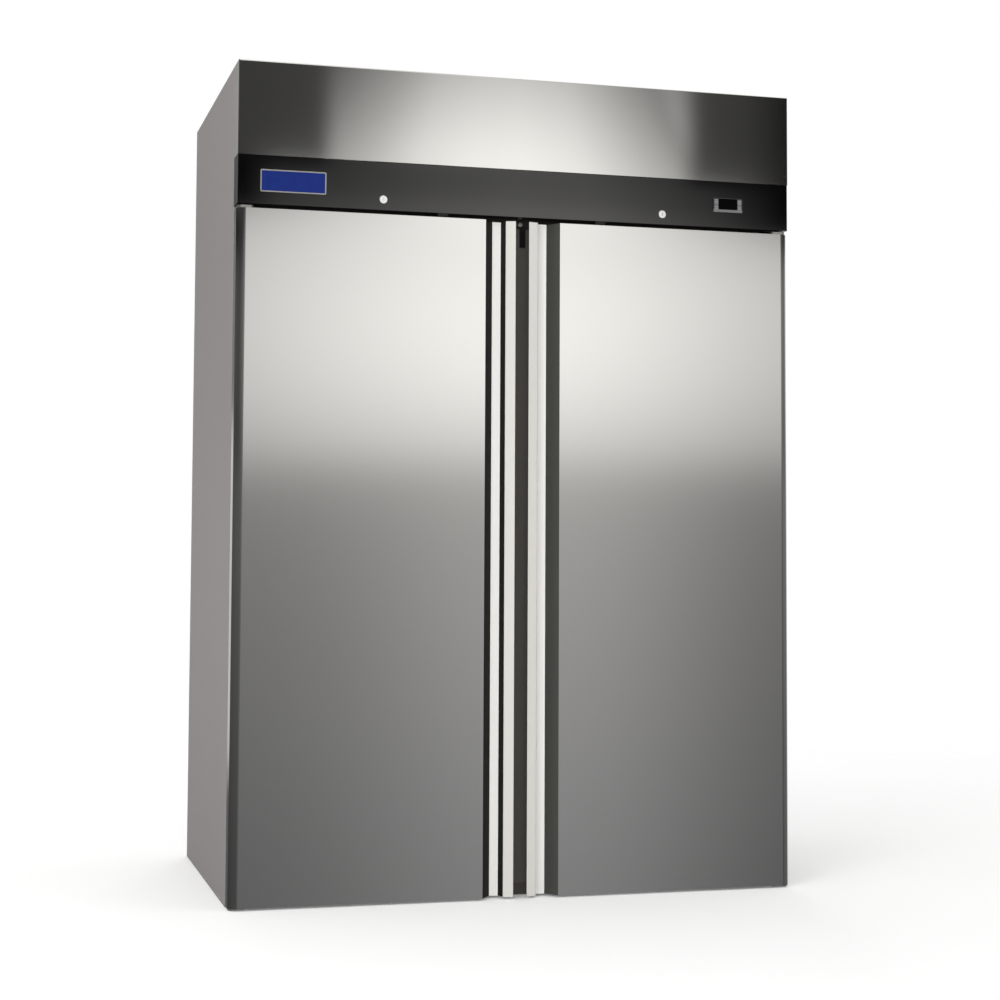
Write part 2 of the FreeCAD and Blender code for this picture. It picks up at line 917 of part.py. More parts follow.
def hinge_bracket_top(side):
    nose = y_pivot - bracket_nose
    outline = [
        (side * bracket_inner, nose, bracket_corner),
        (side * bracket_outer, nose, bracket_corner),
        (side * bracket_outer, y_cabinet, 0),
        (side * bracket_inner, y_cabinet, 0),
    ]
    bracket = slab("xy", [outline], z_bracket_top, z_bracket_top + bracket_top_plate)
    flange = box(side * bracket_inner, side * bracket_outer, y_cabinet - bracket_plate, y_cabinet,
                 z_bracket_top, z_bracket_top + bracket_flange)
    pin = rod(pin_radius, V(side * x_pivot, y_pivot, z_bracket_top - pin_length),
              V(side * x_pivot, y_pivot, z_bracket_top))
    return bracket.fuse([flange, pin]).cut(screw_shanks())


def hinge_bracket_bottom(side):
    nose = y_pivot - bracket_nose
    tail = y_cabinet + bracket_tail
    outline = [
        (side * bracket_inner, nose, bracket_corner),
        (side * bracket_outer, nose, bracket_corner),
        (side * bracket_outer, tail, 0),
        (side * bracket_inner, tail, 0),
    ]
    top = z_bracket_bottom + bracket_plate
    bracket = slab("xy", [outline], z_bracket_bottom, top)
    pin = rod(pin_radius, V(side * x_pivot, y_pivot, top), V(side * x_pivot, y_pivot, top + pin_length))
    return bracket.fuse(pin).cut(screw_shanks() + screw_heads())


# Doors: corners are given outward from the cabinet's middle and back from the face


def door_loop(side, corners):
    return [(side * x, y_front + q, radius) for x, q, radius in corners]


def door_skin(side):
    fold = half_width - door_return
    inside = half_width - door_sheet
    corners = [
        (x_face, 0, 0),
        (half_width, 0, door_edge_radius),
        (half_width, door_thickness, door_fold_radius),
        (fold, door_thickness, 0),
        (fold, q_inside, 0),
        (inside, q_inside, door_fold_radius - door_sheet),
        (inside, door_sheet, door_edge_radius - door_sheet),
        (x_face, door_sheet, 0),
    ]
    return slab("xy", [door_loop(side, corners)], z_door, z_door_top)


def door_channel(side):
    lip_under = q_tip + lip_back
    lip_slope = lip_rise / lip_run
    corners = [
        (x_ledge, door_sheet, 0),
        (x_face, door_sheet, 0),
        (x_face, 0, 0),
        (x_grip_floor, q_floor, 0),
        (x_grip_wall, q_floor, 0),
        (x_lip_root, q_root, 0),
        (x_lip, q_tip, 0),
        (x_lip, lip_under, 0),
        (x_channel, lip_under + (x_channel - x_lip) * lip_slope, 0),
        (x_channel, door_thickness, 0),
        (x_channel_inside, door_thickness, 0),
    ] + channel_back
    return slab("xy", [door_loop(side, corners)], z_door, z_door_top)


def door_grip_trim(side):
    """Light strips on the grip's floor and over its lip."""
    floor_strip = rectangle(x_grip_wall, x_grip_floor, grip_depth, q_floor)
    lip_strip = [
        (x_lip_root, q_root - lip_trim, lip_tip),
        (x_lip_root, q_root, 0),
        (x_lip, q_tip, 0),
        (x_lip, q_tip - lip_trim, lip_tip),
    ]
    return [slab("xy", [door_loop(side, strip)], z_door, z_door_top) for strip in (floor_strip, lip_strip)]


def door_core(side, z0, z1):
    """The space inside a door's skin, liner and channel."""
    inside = half_width - door_sheet
    corners = [
        (x_ledge, door_sheet, 0),
        (inside, door_sheet, door_edge_radius - door_sheet),
        (inside, q_inside, door_fold_radius - door_sheet),
        (x_channel_inside, q_inside, 0),
    ] + channel_back
    return slab("xy", [door_loop(side, corners)], z0, z1)


def door_caps(side):
    bottom = door_core(side, z_door, z_door + cap_height)
    top = door_core(side, z_door_top - cap_height, z_door_top)
    bore = rod(pin_radius + running_clearance, V(side * x_pivot, y_pivot, z_door - overrun),
               V(side * x_pivot, y_pivot, z_door_top + overrun))
    return [bottom.cut(bore), top.cut([bore, cam_slot(side, z_door_top)])]


def door_bulge(side, margin, q0, q1):
    outline = rectangle(side * (x_bulge + margin), side * (x_bulge_end - margin),
                        z_door + bulge_end_margin + margin, z_door_top - bulge_end_margin - margin,
                        bulge_corner - margin)
    return slab("xz", [outline], y_front + q0, y_front + q1)


def door_foam(side):
    core = door_core(side, z_door + cap_height, z_door_top - cap_height)
    return core.fuse(door_bulge(side, door_sheet, q_inside, q_inside + bulge_depth))


def door_liner(side):
    fold = half_width - door_return
    flat = box(side * x_channel_inside, side * fold, y_front + q_inside, y_front + door_thickness,
               z_door, z_door_top)
    outer = door_bulge(side, 0, q_inside, door_thickness + bulge_depth)
    inner = door_bulge(side, door_sheet, q_inside - overrun, q_inside + bulge_depth)
    return flat.fuse(outer).cut(inner)


def door_gasket(side):
    x0 = x_channel + gasket_meeting_margin
    x1 = half_width - gasket_side_margin
    z0 = z_door + gasket_end_margin
    z1 = z_door_top - gasket_end_margin
    w = gasket_width
    outer = rectangle(side * x0, side * x1, z0, z1, gasket_corner)
    inner = rectangle(side * (x0 + w), side * (x1 - w), z0 + w, z1 - w, gasket_corner / 2)
    return slab("xz", [outer, inner], y_door_back, y_cabinet - gasket_clearance)


# Inside: shelves, pilasters and clips


def shelf(side, z):
    """Rectangular grid with a round-cornered rim."""
    x0 = shelf_inner + shelf_rim
    x1 = shelf_outer - shelf_rim
    y0 = y_shelf_front + shelf_rim
    y1 = y_shelf_back - shelf_rim
    columns = int((x1 - x0) / (shelf_gap + shelf_bar))
    pitch_x = (x1 - x0 + shelf_bar) / columns
    pitch_y = (y1 - y0 + shelf_bar) / shelf_rows
    loops = [rectangle(side * shelf_inner, side * shelf_outer, y_shelf_front, y_shelf_back, shelf_corner)]
    for i in range(columns):
        for j in range(shelf_rows):
            left = x0 + i * pitch_x
            front = y0 + j * pitch_y
            loops.append(rectangle(side * left, side * (left + pitch_x - shelf_bar),
                                   front, front + pitch_y - shelf_bar))
    return slab("xy", loops, z, z + shelf_thickness)


def shelf_levels():
    return [z_floor + shelf_first + i * shelf_pitch for i in range(shelf_count)]


def shelves(side):
    return [shelf(side, z) for z in shelf_levels()]


def shelf_supports():
    """Places on the walls that carry a pilaster, with the way that each one faces."""
    supports = []
    for side in (-1, 1):
        supports.append((side * centre_pilaster_offset, y_liner_back, 0))
        supports.append((side * centre_pilaster_offset, y_mullion_back, 180))
        supports.append((side * x_liner, y_mullion_back + pilaster_front_inset, -90 * side))
        supports.append((side * x_liner, y_liner_back - pilaster_back_inset, -90 * side))
    return supports


def set_on_wall(piece, support):
    x, y, angle = support
    piece.rotate(V(0, 0, 0), V(0, 0, 1), angle)
    piece.translate(V(x, y, 0))
    return piece


def pilasters():
    half = pilaster_width / 2
    half_slot = pilaster_slot_width / 2
    loops = [rectangle(-half, half, z_pilaster, z_pilaster_top)]
    for i in range(int((z_pilaster_top - z_pilaster) / pilaster_slot_pitch)):
        slot = z_pilaster + (i + 1) * pilaster_slot_pitch - pilaster_slot_height
        loops.append(rectangle(-half_slot, half_slot, slot - pilaster_slot_height, slot))
    channel = slab("xz", loops, -pilaster_depth, pilaster_wall - pilaster_depth)
    inside = pilaster_wall / 2 - pilaster_depth
    for edge in (-1, 1):
        channel = channel.fuse(box(edge * half, edge * (half - pilaster_wall), inside, 0,
                                   z_pilaster, z_pilaster_top))
    return [set_on_wall(channel.copy(), support) for support in shelf_supports()]


def shelf_clips():
    clips = []
    for support in shelf_supports():
        for z in shelf_levels():
            clip = box(-clip_width / 2, clip_width / 2, -pilaster_depth - clip_reach, -pilaster_depth,
                       z - clip_height, z)
            clips.append(set_on_wall(clip, support))
    return clips


# Evaporator


def evaporator_cover():
    outer = box(-evap_half_width, evap_half_width, evap_front, evap_back, z_evap, z_ceiling)
    reach = evap_half_width - evap_sheet
    inside = evap_front + evap_sheet
    inner = box(-reach, reach, inside, evap_back + overrun, z_evap + evap_sheet, z_ceiling + overrun)
    rings = []
    openings = []
    for side in (-1, 1):
        x = side * evap_fan_offset
        front = evap_front - evap_ring_depth
        rings.append(rod(evap_fan_opening + evap_ring_width, V(x, front, z_evap_fan),
                         V(x, evap_front, z_evap_fan)))
        openings.append(rod(evap_fan_opening, V(x, front - overrun, z_evap_fan),
                            V(x, inside + overrun, z_evap_fan)))
    return outer.cut(inner).fuse(rings).cut(openings)


def evaporator_fan(side):
    return fan(side * evap_fan_offset, z_evap_fan, y_evap_fan, evap_fan_depth, evap_fan_radius)


def evaporator_motor(side):
    x = side * evap_fan_offset
    motor = fan_motor(x, z_evap_fan, y_evap_motor, evap_motor_length, evap_motor_radius, y_evap_fan)
    strap_front = y_evap_motor + evap_motor_length / 2
    strap = box(x - evap_strap_width / 2, x + evap_strap_width / 2, strap_front,
                strap_front + evap_strap_thickness, z_evap_fan, z_ceiling)
    return motor.fuse(strap)


def evaporator_coil():
    fins = finned_block(-evap_coil_half_width, evap_coil_half_width, evap_coil_front, evap_coil_back,
                        z_evap_coil, z_evap_coil + evap_coil_height, evap_fin_count)
    last_fin = 2 * evap_coil_half_width / evap_fin_count * (1 - fin_tooth_share)
    ends = [
        box(-evap_coil_half_width - evap_coil_end, -evap_coil_half_width, evap_coil_front, evap_coil_back,
            z_evap_coil, z_ceiling),
        box(evap_coil_half_width - last_fin, evap_coil_half_width, evap_coil_front, evap_coil_back,
            z_evap_coil, z_ceiling),
    ]
    return fins.fuse(ends)


# Condensing unit


def unit_base():
    outer = box(unit_left, unit_right, unit_front, unit_back, z_deck, z_deck + unit_rim)
    inner = box(unit_left + unit_sheet, unit_right - unit_sheet,
                unit_front + unit_sheet, unit_back - unit_sheet, z_unit, z_deck + unit_rim + overrun)
    return outer.cut(inner)


def condenser_coil():
    fins = finned_block(condenser_left, condenser_right, condenser_front, condenser_back,
                        z_unit + unit_rim, z_unit + condenser_rise, condenser_fin_count)
    last_fin = (condenser_right - condenser_left) / condenser_fin_count * (1 - fin_tooth_share)
    top = z_unit + condenser_rise
    ends = [
        box(condenser_left - condenser_end, condenser_left, condenser_front, condenser_back, z_unit, top),
        box(condenser_right - last_fin, condenser_right, condenser_front, condenser_back, z_unit, top),
    ]
    return fins.fuse(ends)


def condenser_shroud():
    top = z_unit + condenser_rise
    outer = box(condenser_left, condenser_right, condenser_back, shroud_back, z_unit, top)
    inner = box(condenser_left + shroud_wall, condenser_right - shroud_wall, condenser_back - overrun,
                shroud_back - shroud_wall, z_unit + shroud_wall, top - shroud_wall)
    opening = rod(condenser_fan_opening,
                  V(condenser_middle, shroud_back - shroud_wall - overrun, z_condenser_fan),
                  V(condenser_middle, shroud_back + overrun, z_condenser_fan))
    return outer.cut([inner, opening])


def condenser_fan():
    return fan(condenser_middle, z_condenser_fan, y_condenser_fan,
               condenser_fan_depth, condenser_fan_radius)


def condenser_motor():
    motor = fan_motor(condenser_middle, z_condenser_fan, y_condenser_motor, condenser_motor_length,
                      condenser_motor_radius, y_condenser_fan)
    stand_y = y_condenser_motor + condenser_motor_length / 2
    stand = box(condenser_middle - pedestal_width / 2, condenser_middle + pedestal_width / 2,
                stand_y, stand_y + pedestal_plate, z_unit, z_condenser_fan)
    foot = box(condenser_middle - pedestal_foot / 2, condenser_middle + pedestal_foot / 2,
               stand_y - pedestal_width / 2, stand_y + pedestal_width / 2, z_unit, z_unit + pedestal_plate)
    return motor.fuse([stand, foot])


def compressor():
    """Welded pot on a foot plate, with four rubber mounts and a terminal cover."""
    x = compressor_x
    y = compressor_y
    middle = z_compressor + compressor_height / 2
    pot = rod(compressor_radius, V(x, y, z_compressor), V(x, y, z_compressor + compressor_height))
    rims = edges_where(pot, lambda p: p.z > middle) + edges_where(pot, lambda p: p.z < middle)
    pot = pot.makeFillet(compressor_dome, rims)
    seam = rod(compressor_radius + compressor_seam, V(x, y, middle - compressor_seam),
               V(x, y, middle + compressor_seam))
    half = compressor_foot_half
    foot = slab("xy", [rectangle(x - half, x + half, y - half, y + half, compressor_foot_corner)],
                z_compressor, z_compressor + compressor_foot)
    terminal = box(x - compressor_radius - terminal_depth, x - compressor_radius / 2,
                   y - terminal_width / 2, y + terminal_width / 2,
                   middle - terminal_height / 2, middle + terminal_height / 2)
    reach = half - mount_inset
    mounts = []
    for i in (-1, 1):
        for j in (-1, 1):
            low = V(x + i * reach, y + j * reach, z_unit)
            mounts.append(rod(mount_radius, low, low + V(0, 0, compressor_lift)))
    return pot.fuse([seam, foot, terminal] + mounts)


def refrigerant_lines():
    x_port = condenser_left - condenser_end
    z_discharge = z_unit + discharge_height
    z_liquid = z_unit + liquid_height
    z_suction = z_unit + suction_height
    y_discharge = condenser_front + discharge_side_inset
    y_liquid = condenser_front + liquid_side_inset
    discharge = tube([
        V(compressor_x + compressor_radius, compressor_y, z_discharge),
        V(discharge_x, compressor_y, z_discharge),
        V(discharge_x, y_discharge, z_discharge),
        V(x_port, y_discharge, z_discharge),
    ])
    liquid = tube([
        V(x_port, y_liquid, z_liquid),
        V(liquid_x, y_liquid, z_liquid),
        V(liquid_x, y_lines, z_liquid),
        V(liquid_x, y_lines, z_ceiling - liquid_coil_drop),
        V(liquid_x, evap_coil_back, z_ceiling - liquid_coil_drop),
    ])
    suction = tube([
        V(suction_x, evap_coil_back, z_ceiling - suction_coil_drop),
        V(suction_x, y_lines, z_ceiling - suction_coil_drop),
        V(suction_x, y_lines, z_suction),
        V(compressor_x, y_lines, z_suction),
        V(compressor_x, compressor_y + compressor_radius, z_suction),
    ])
    front = V(liquid_x, drier_y - drier_length / 2, z_liquid)
    back = V(liquid_x, drier_y + drier_length / 2, z_liquid)
    taper = V(0, drier_taper, 0)
    body = rod(drier_radius, front + taper, back - taper)
    noses = [
        Part.makeCone(line_radius, drier_radius, drier_taper, front, taper),
        Part.makeCone(drier_radius, line_radius, drier_taper, back - taper, taper),
    ]
    return [discharge, liquid.fuse([body] + noses), suction]


def control_box():
    right = control_box_left + control_box_width
    back = control_box_front + control_box_depth
    top = z_deck + control_box_height
    wall = control_box_wall
    lip = control_box_lip
    outer = box(control_box_left, right, control_box_front, back, z_deck, top)
    inner = box(control_box_left + wall, right - wall, control_box_front + wall, back - wall,
                z_deck + wall, top + overrun)
    lid = box(control_box_left - lip, right + lip, control_box_front - lip, back + lip,
              top, top + control_box_lid)
    return [outer.cut(inner), lid]


def rear_grille():
    top = height - sheet
    half_slot = grille_slot_height / 2
    loops = [rectangle(-x_skin, x_skin, z_deck, top)]
    left = grille_margin - x_skin
    pitch = (grille_slot_gap - 2 * left) / grille_banks
    low = (z_deck + top) / 2 - grille_slot_pitch * (grille_rows - 1) / 2
    for bank in range(grille_banks):
        for row in range(grille_rows):
            x = left + bank * pitch
            z = low + row * grille_slot_pitch
            loops.append(rectangle(x, x + pitch - grille_slot_gap, z - half_slot, z + half_slot))
    outside = y_grille + grille_sheet
    z = z_deck + gland_height
    hole = rod(gland_radius, V(gland_x, y_grille - overrun, z), V(gland_x, outside + overrun, z))
    return slab("xz", loops, y_grille, outside).cut(hole)


def power_gland():
    """Cord gland through the rear grille, with a nut on each side."""
    z = z_deck + gland_height
    outside = y_grille + grille_sheet

    def piece(radius, y0, y1):
        return rod(radius, V(gland_x, y0, z), V(gland_x, y1, z))

    sleeve = piece(gland_radius, y_grille - gland_inside, outside + gland_reach)
    inner_nut = piece(gland_nut_radius, y_grille - gland_nut, y_grille)
    outer_nut = piece(gland_nut_radius, outside, outside + gland_nut)
    bore = piece(gland_bore, y_grille - gland_inside - overrun, outside + gland_reach + overrun)
    return sleeve.fuse([inner_nut, outer_nut]).cut(bore)


os.makedirs("parts", exist_ok=True)

save("back_panel", back_panel())
save("top_deck", top_deck())
save("base_pan", base_pan())
save("cabinet_foam", cabinet_foam())
save("liner_sides", liner_side(-1), liner_side(1))
save("liner_back", liner_back())
save("liner_floor", liner_floor())
save("liner_ceiling", liner_ceiling())
save("breaker_strips", *breaker_strips())
save("mullion", mullion())
save("mullion_cover", mullion_cover())
save("header_panel", header_panel())
save("control_strip", control_strip())
save("badge_plate", badge_plate())
save("display_bezel", display_bezel())
save("display_window", display_window())
save("key_set", key(-1, 1))
save("key_defrost", key(-1, -1))
save("key_up", key(1, 1))
save("key_down", key(1, -1))
save("door_sensors", door_sensor(-1), door_sensor(1))
save("hinge_brackets", hinge_bracket_top(-1), hinge_bracket_top(1),
     hinge_bracket_bottom(-1), hinge_bracket_bottom(1))
save("screws", *screws())
save("pilasters", *pilasters())
save("shelf_clips", *shelf_clips())
save("evaporator_cover", evaporator_cover())
save("evaporator_coil", evaporator_coil())
save("evaporator_motors", evaporator_motor(-1), evaporator_motor(1))
save("unit_base", unit_base())
save("condenser_coil", condenser_coil())
save("condenser_shroud", condenser_shroud())
save("condenser_motor", condenser_motor())
save("condenser_fan", condenser_fan())
save("compressor", compressor())
save("refrigerant_lines", *refrigerant_lines())
save("control_box", *control_box())
save("rear_grille", rear_grille())
save("power_gland", power_gland())

for name, side in (("left", -1), ("right", 1)):
    save("side_panel_" + name, side_panel(side))
    save("door_skin_" + name, door_skin(side))
    save("door_channel_" + name, door_channel(side))
    save("door_grip_trim_" + name, *door_grip_trim(side))
    save("door_foam_" + name, door_foam(side))
    save("door_liner_" + name, door_liner(side))
    save("door_caps_" + name, *door_caps(side))
    save("door_gasket_" + name, door_gasket(side))
    save("lock_" + name, lock(side))
    save("shelves_" + name, *shelves(side))
    save("evaporator_fan_" + name, evaporator_fan(side))
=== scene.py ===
import bmesh
import bpy
import json
import math
from mathutils import Matrix, Vector


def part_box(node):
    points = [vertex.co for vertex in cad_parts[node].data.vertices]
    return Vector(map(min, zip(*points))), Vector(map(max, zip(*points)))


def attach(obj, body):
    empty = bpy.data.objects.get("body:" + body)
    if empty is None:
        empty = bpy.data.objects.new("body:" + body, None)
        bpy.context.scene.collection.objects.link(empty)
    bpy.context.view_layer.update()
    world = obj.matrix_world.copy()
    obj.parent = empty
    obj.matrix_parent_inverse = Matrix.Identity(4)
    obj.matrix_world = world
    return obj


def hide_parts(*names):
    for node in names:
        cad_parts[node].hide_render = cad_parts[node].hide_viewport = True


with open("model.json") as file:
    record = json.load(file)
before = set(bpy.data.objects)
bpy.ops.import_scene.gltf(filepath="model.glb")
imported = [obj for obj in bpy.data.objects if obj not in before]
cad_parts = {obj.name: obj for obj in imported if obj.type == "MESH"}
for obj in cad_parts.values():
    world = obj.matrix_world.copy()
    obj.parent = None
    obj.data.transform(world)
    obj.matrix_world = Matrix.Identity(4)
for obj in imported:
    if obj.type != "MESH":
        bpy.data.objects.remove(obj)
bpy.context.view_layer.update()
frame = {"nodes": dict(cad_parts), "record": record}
nodes = frame["nodes"]
scene = bpy.context.scene
scene.view_settings.view_transform = "Standard"
SIDES = ("left", "right")


# Camera, fitted to the corners and edges that the photograph shows

SENSOR_WIDTH = 36.0
LENS = 70.501
SHIFT_Y = -0.0681
FAR_CLIP = 200.0
CAMERA_PLACE = Vector((-1.24841, -4.75404, 0.79311))
CAMERA_RIGHT = Vector((0.964151, -0.26531, 0.004793)).normalized()
CAMERA_AHEAD = Vector((0.264546, 0.962469, 0.06057)).normalized()

camera_data = bpy.data.cameras.new("camera")
camera_data.sensor_width = SENSOR_WIDTH
camera_data.lens = LENS
camera_data.shift_y = SHIFT_Y
camera_data.clip_end = FAR_CLIP
camera = bpy.data.objects.new("camera", camera_data)
scene.collection.objects.link(camera)
camera_up = CAMERA_RIGHT.cross(CAMERA_AHEAD)
camera_turn = Matrix((CAMERA_RIGHT, camera_up, -CAMERA_AHEAD)).transposed().to_4x4()
camera.matrix_world = Matrix.Translation(CAMERA_PLACE) @ camera_turn
scene.camera = camera


# Node trees


class Tree:
    """Short calls for building a node tree."""

    def __init__(self, owner):
        owner.use_nodes = True
        self.tree = owner.node_tree
        self.tree.nodes.clear()

    def put(self, socket, value):
        """Links a socket, or sets it; three numbers are a colour where the socket takes four."""
        if isinstance(value, bpy.types.NodeSocket):
            self.tree.links.new(value, socket)
        elif isinstance(value, tuple) and len(socket.default_value) == 4 and len(value) == 3:
            socket.default_value = (*value, 1.0)
        else:
            socket.default_value = value

    def node(self, kind, settings=None, **inputs):
        """Adds a node; an input goes by its name, or by its number after an underscore."""
        made = self.tree.nodes.new(kind)
        for name, value in (settings or {}).items():
            setattr(made, name, value)
        for name, value in inputs.items():
            by_number = name[0] == "_" and name[1:].isdigit()
            key = int(name[1:]) if by_number else name.replace("_", " ")
            self.put(made.inputs[key], value)
        return made

    def math(self, operation, a, b=0.0, c=0.0):
        return self.node("ShaderNodeMath", {"operation": operation}, _0=a, _1=b, _2=c).outputs[0]

    def between(self, factor, low, high):
        """Low where the factor is 0 and high where it is 1."""
        return self.math("MULTIPLY_ADD", factor, high - low, low)

    def weighted(self, share, a, b):
        """A share of one value and the rest of another."""
        rest = self.math("MULTIPLY", b, 1 - share)
        return self.math("ADD", self.math("MULTIPLY", a, share), rest)

    def from_zero(self, value, low, high, kind="LINEAR"):
        """0 at the low value and 1 at the high one."""
        return self.node("ShaderNodeMapRange", {"interpolation_type": kind},
                         _0=value, _1=low, _2=high, _3=0.0, _4=1.0).outputs[0]

    def soft_step(self, value, low, high):
        return self.from_zero(value, low, high, "SMOOTHSTEP")

    def ramp(self, factor, stops):
        made = self.node("ShaderNodeValToRGB", _0=factor)
        elements = made.color_ramp.elements
        while len(elements) < len(stops):
            elements.new(0.5)
        for element, (place, level) in zip(elements, stops):
            element.position = place
            element.color = (level, level, level, 1.0)
        return made.outputs[0]

    def mix(self, factor, a, b, blend="MIX"):
        """Mixes colours; a mix node of colours takes them at inputs 6 and 7, and gives output 2."""
        return self.node("ShaderNodeMix", {"data_type": "RGBA", "blend_type": blend},
                         _0=factor, _6=a, _7=b).outputs[2]

    def shader(self, factor, a, b):
        return self.node("ShaderNodeMixShader", _0=factor, _1=a, _2=b).outputs[0]

    def object_place(self):
        return self.node("ShaderNodeTexCoord").outputs["Object"]

    def xyz(self):
        """Coordinates on the object, in metres."""
        return self.node("ShaderNodeSeparateXYZ", _0=self.object_place()).outputs

    def noise(self, scale, detail=3.0, stretch=(1, 1, 1), roughness=0.55):
        place = self.node("ShaderNodeMapping", _0=self.object_place(), Scale=stretch).outputs[0]
        return self.node("ShaderNodeTexNoise", _0=place, Scale=scale, Detail=detail,
                         Roughness=roughness).outputs[0]

    def cells(self, scale, output):
        return self.node("ShaderNodeTexVoronoi", _0=self.object_place(),
                         Scale=scale).outputs[output]

    def bump(self, height, strength, distance):
        return self.node("ShaderNodeBump", Height=height, Strength=strength,
                         Distance=distance).outputs[0]

    def principled(self, **inputs):
        return self.node("ShaderNodeBsdfPrincipled", **inputs).outputs[0]

    def finish(self, shader, kind="ShaderNodeOutputMaterial"):
        self.tree.links.new(shader, self.tree.nodes.new(kind).inputs[0])


def linear(r, g, b):
    """Linear colour of an sRGB colour given in 0 to 255."""
    def one(level):
        share = level / 255.0
        return share / 12.92 if share <= 0.04045 else ((share + 0.055) / 1.055) ** 2.4
    return one(r), one(g), one(b)


def grey(level):
    return linear(level, level, level)


def varied(colour, down, up):
    """A darker and a lighter colour, each by a share of the colour given."""
    return tuple(c * (1 - down) for c in colour), tuple(min(1.0, c * (1 + up)) for c in colour)


# Studio, as only gloss such as the steel's sees it: the camera sees white, and matt surfaces get
# an even light. In degrees, azimuth 0 lies ahead of the cabinet's front and 90 to its right, and
# elevation 0 is level. Rise is how far a direction climbs on its way forward: a line of equal
# rise looks level in a flat front. The doors see the floor and a low wall, the strip a sill over
# the wall, and the header a window over the sill. The lists below give brightness at degrees.

LEAST_FORWARD = 0.85
WALL_START = (2.0, 3.0)
SILL_START = (0.1758, 0.1768)
WINDOW_START = (0.1990, 0.2010)

FLOOR_BY_HEIGHT = [(-90, 0.10), (-30, 0.16), (-10, 0.29), (-2, 0.43), (2, 0.50)]
AROUND_FLOOR = [
    (-180, 0.22), (-150, 0.18), (-12, 0.24), (2, 0.42), (8, 0.52), (11, 0.59), (13.5, 0.96),
    (16.5, 1.24), (18.5, 1.10), (20.5, 0.78), (22, 0.48), (24, 0.36), (32, 0.22), (55, 0.40),
    (120, 0.40), (180, 0.22)]
WALL_BY_HEIGHT = [(1.0, 0.74), (3.0, 1.06), (5.0, 1.42), (7.0, 1.51), (10.0, 1.33)]
AROUND_WALL = [
    (-180, 0.12), (-145, 0.06), (-60, 0.05), (-35, 0.08), (-8, 0.12), (4, 0.36), (8.5, 0.64),
    (12, 0.82), (15.5, 1.0), (18.5, 0.93), (23, 0.54), (32, 0.25), (48, 0.12), (85, 0.14),
    (110, 0.30), (150, 0.28), (180, 0.12)]

# A glow behind on the left, which the left sides of the doors see
GLOW_BY_HEIGHT = [(-7.0, 0.0), (-5.5, 0.48), (3.0, 0.48), (4.4, 0.0)]
AROUND_GLOW = [(-180, 1.0), (-158, 1.0), (-152, 0.0), (180, 0.0)]

SILL_SPAN = (5.0, 27.0)
ACROSS_SILL = [
    (7.9, 0.0), (8.8, 0.42), (11.0, 0.72), (13.5, 1.15), (15.7, 1.42), (18.0, 1.36),
    (20.0, 0.86), (22.0, 0.38), (23.6, 0.0)]
SILL_RISE = (0.176, 0.202)
SILL_BY_RISE = [(0.0, 1.55), (0.26, 1.30), (0.42, 1.0), (1.0, 0.82)]

# The window's light narrows with height, about its middle, between fixed sides
WINDOW_LEFT = (9.9, 10.6)
WINDOW_RIGHT = (20.5, 21.3)
WINDOW_MIDDLE = 15.8
WINDOW_LEVEL = 12.2
WINDOW_TAPER = 0.10
WINDOW_SPAN = (5.0, 27.0)
WINDOW_BY_HEIGHT = [
    (10.0, 1.30), (11.5, 1.21), (13.0, 0.89), (14.5, 0.54), (24, 0.30), (55, 0.30), (90, 0.9)]
ACROSS_WINDOW = [
    (9.0, 0.08), (10.3, 0.25), (11.8, 0.50), (13.2, 0.84), (14.5, 0.97), (16.0, 1.0),
    (17.5, 0.88), (19.5, 0.44), (20.0, 0.36), (20.3, 0.25), (20.5, 0.29), (20.8, 0.40),
    (21.0, 0.38), (23.0, 0.20)]

# Dim light all round above the sill, and what the left side of the header sees behind
ABOVE_BY_HEIGHT = [(10, 0.066), (14, 0.085), (18, 0.085), (25, 0.9), (90, 1.6)]
AROUND_ABOVE = [
    (-180, 0.5), (-130, 1.0), (-35, 1.0), (-10, 0.5), (8, 0.62), (15.6, 1.0), (22.2, 0.66),
    (22.7, 0.60), (23.0, 0.24), (23.4, 0.13), (32, 0.13), (50, 1.0), (120, 1.0), (180, 0.5)]
BEHIND_LEFT = [(-180, 0.0), (-175, 0.29), (-158, 0.29), (-150, 0.0), (180, 0.0)]

# Plain light behind the cabinet and low down, for the sides that the photograph doesn't show
REAR_BY_HEIGHT = [(-90, 0.35), (-14, 0.44), (14, 0.46), (18, 0.10), (90, 0.10)]
AROUND_REAR = [(-180, 1.0), (-177, 1.0), (-173, 0.0), (105, 0.0), (120, 1.0), (180, 1.0)]
LOW_BY_HEIGHT = [(-90, 0.30), (-20, 0.32), (-14, 0.24), (-11.5, 0.0)]
AROUND_LOW = [
    (-180, 0.0), (-173, 1.0), (-25, 1.0), (0, 0.2), (30, 0.2), (50, 1.0), (105, 1.0),
    (120, 0.0), (180, 0.0)]

TINT_CHANGE = (-8.0, 2.5)
LOW_TINT = (1.0, 0.99, 1.0)
HIGH_TINT = (1.0, 0.985, 0.955)
WHITE = (1.0, 1.0, 1.0)
MATT_LIGHT = 0.66

world = bpy.data.worlds.new("studio")
scene.world = world
w = Tree(world)
toward = w.node("ShaderNodeSeparateXYZ",
                _0=w.node("ShaderNodeTexCoord").outputs["Generated"]).outputs
to_degrees = 180 / math.pi
elevation = w.math("MULTIPLY", w.math("ARCSINE", toward[2]), to_degrees)
forward = w.math("MULTIPLY", toward[1], -1.0)
azimuth = w.math("MULTIPLY", w.math("ARCTAN2", toward[0], forward), to_degrees)
level_way = w.math("MAXIMUM", w.math("ABSOLUTE", toward[1]), LEAST_FORWARD)
rise = w.math("DIVIDE", toward[2], level_way)


def by_angle(angle, low, high, stops):
    """Brightness along an angle, from stops between its lowest and highest degrees."""
    return w.ramp(w.from_zero(angle, low, high),
                  [((place - low) / (high - low), value) for place, value in stops])


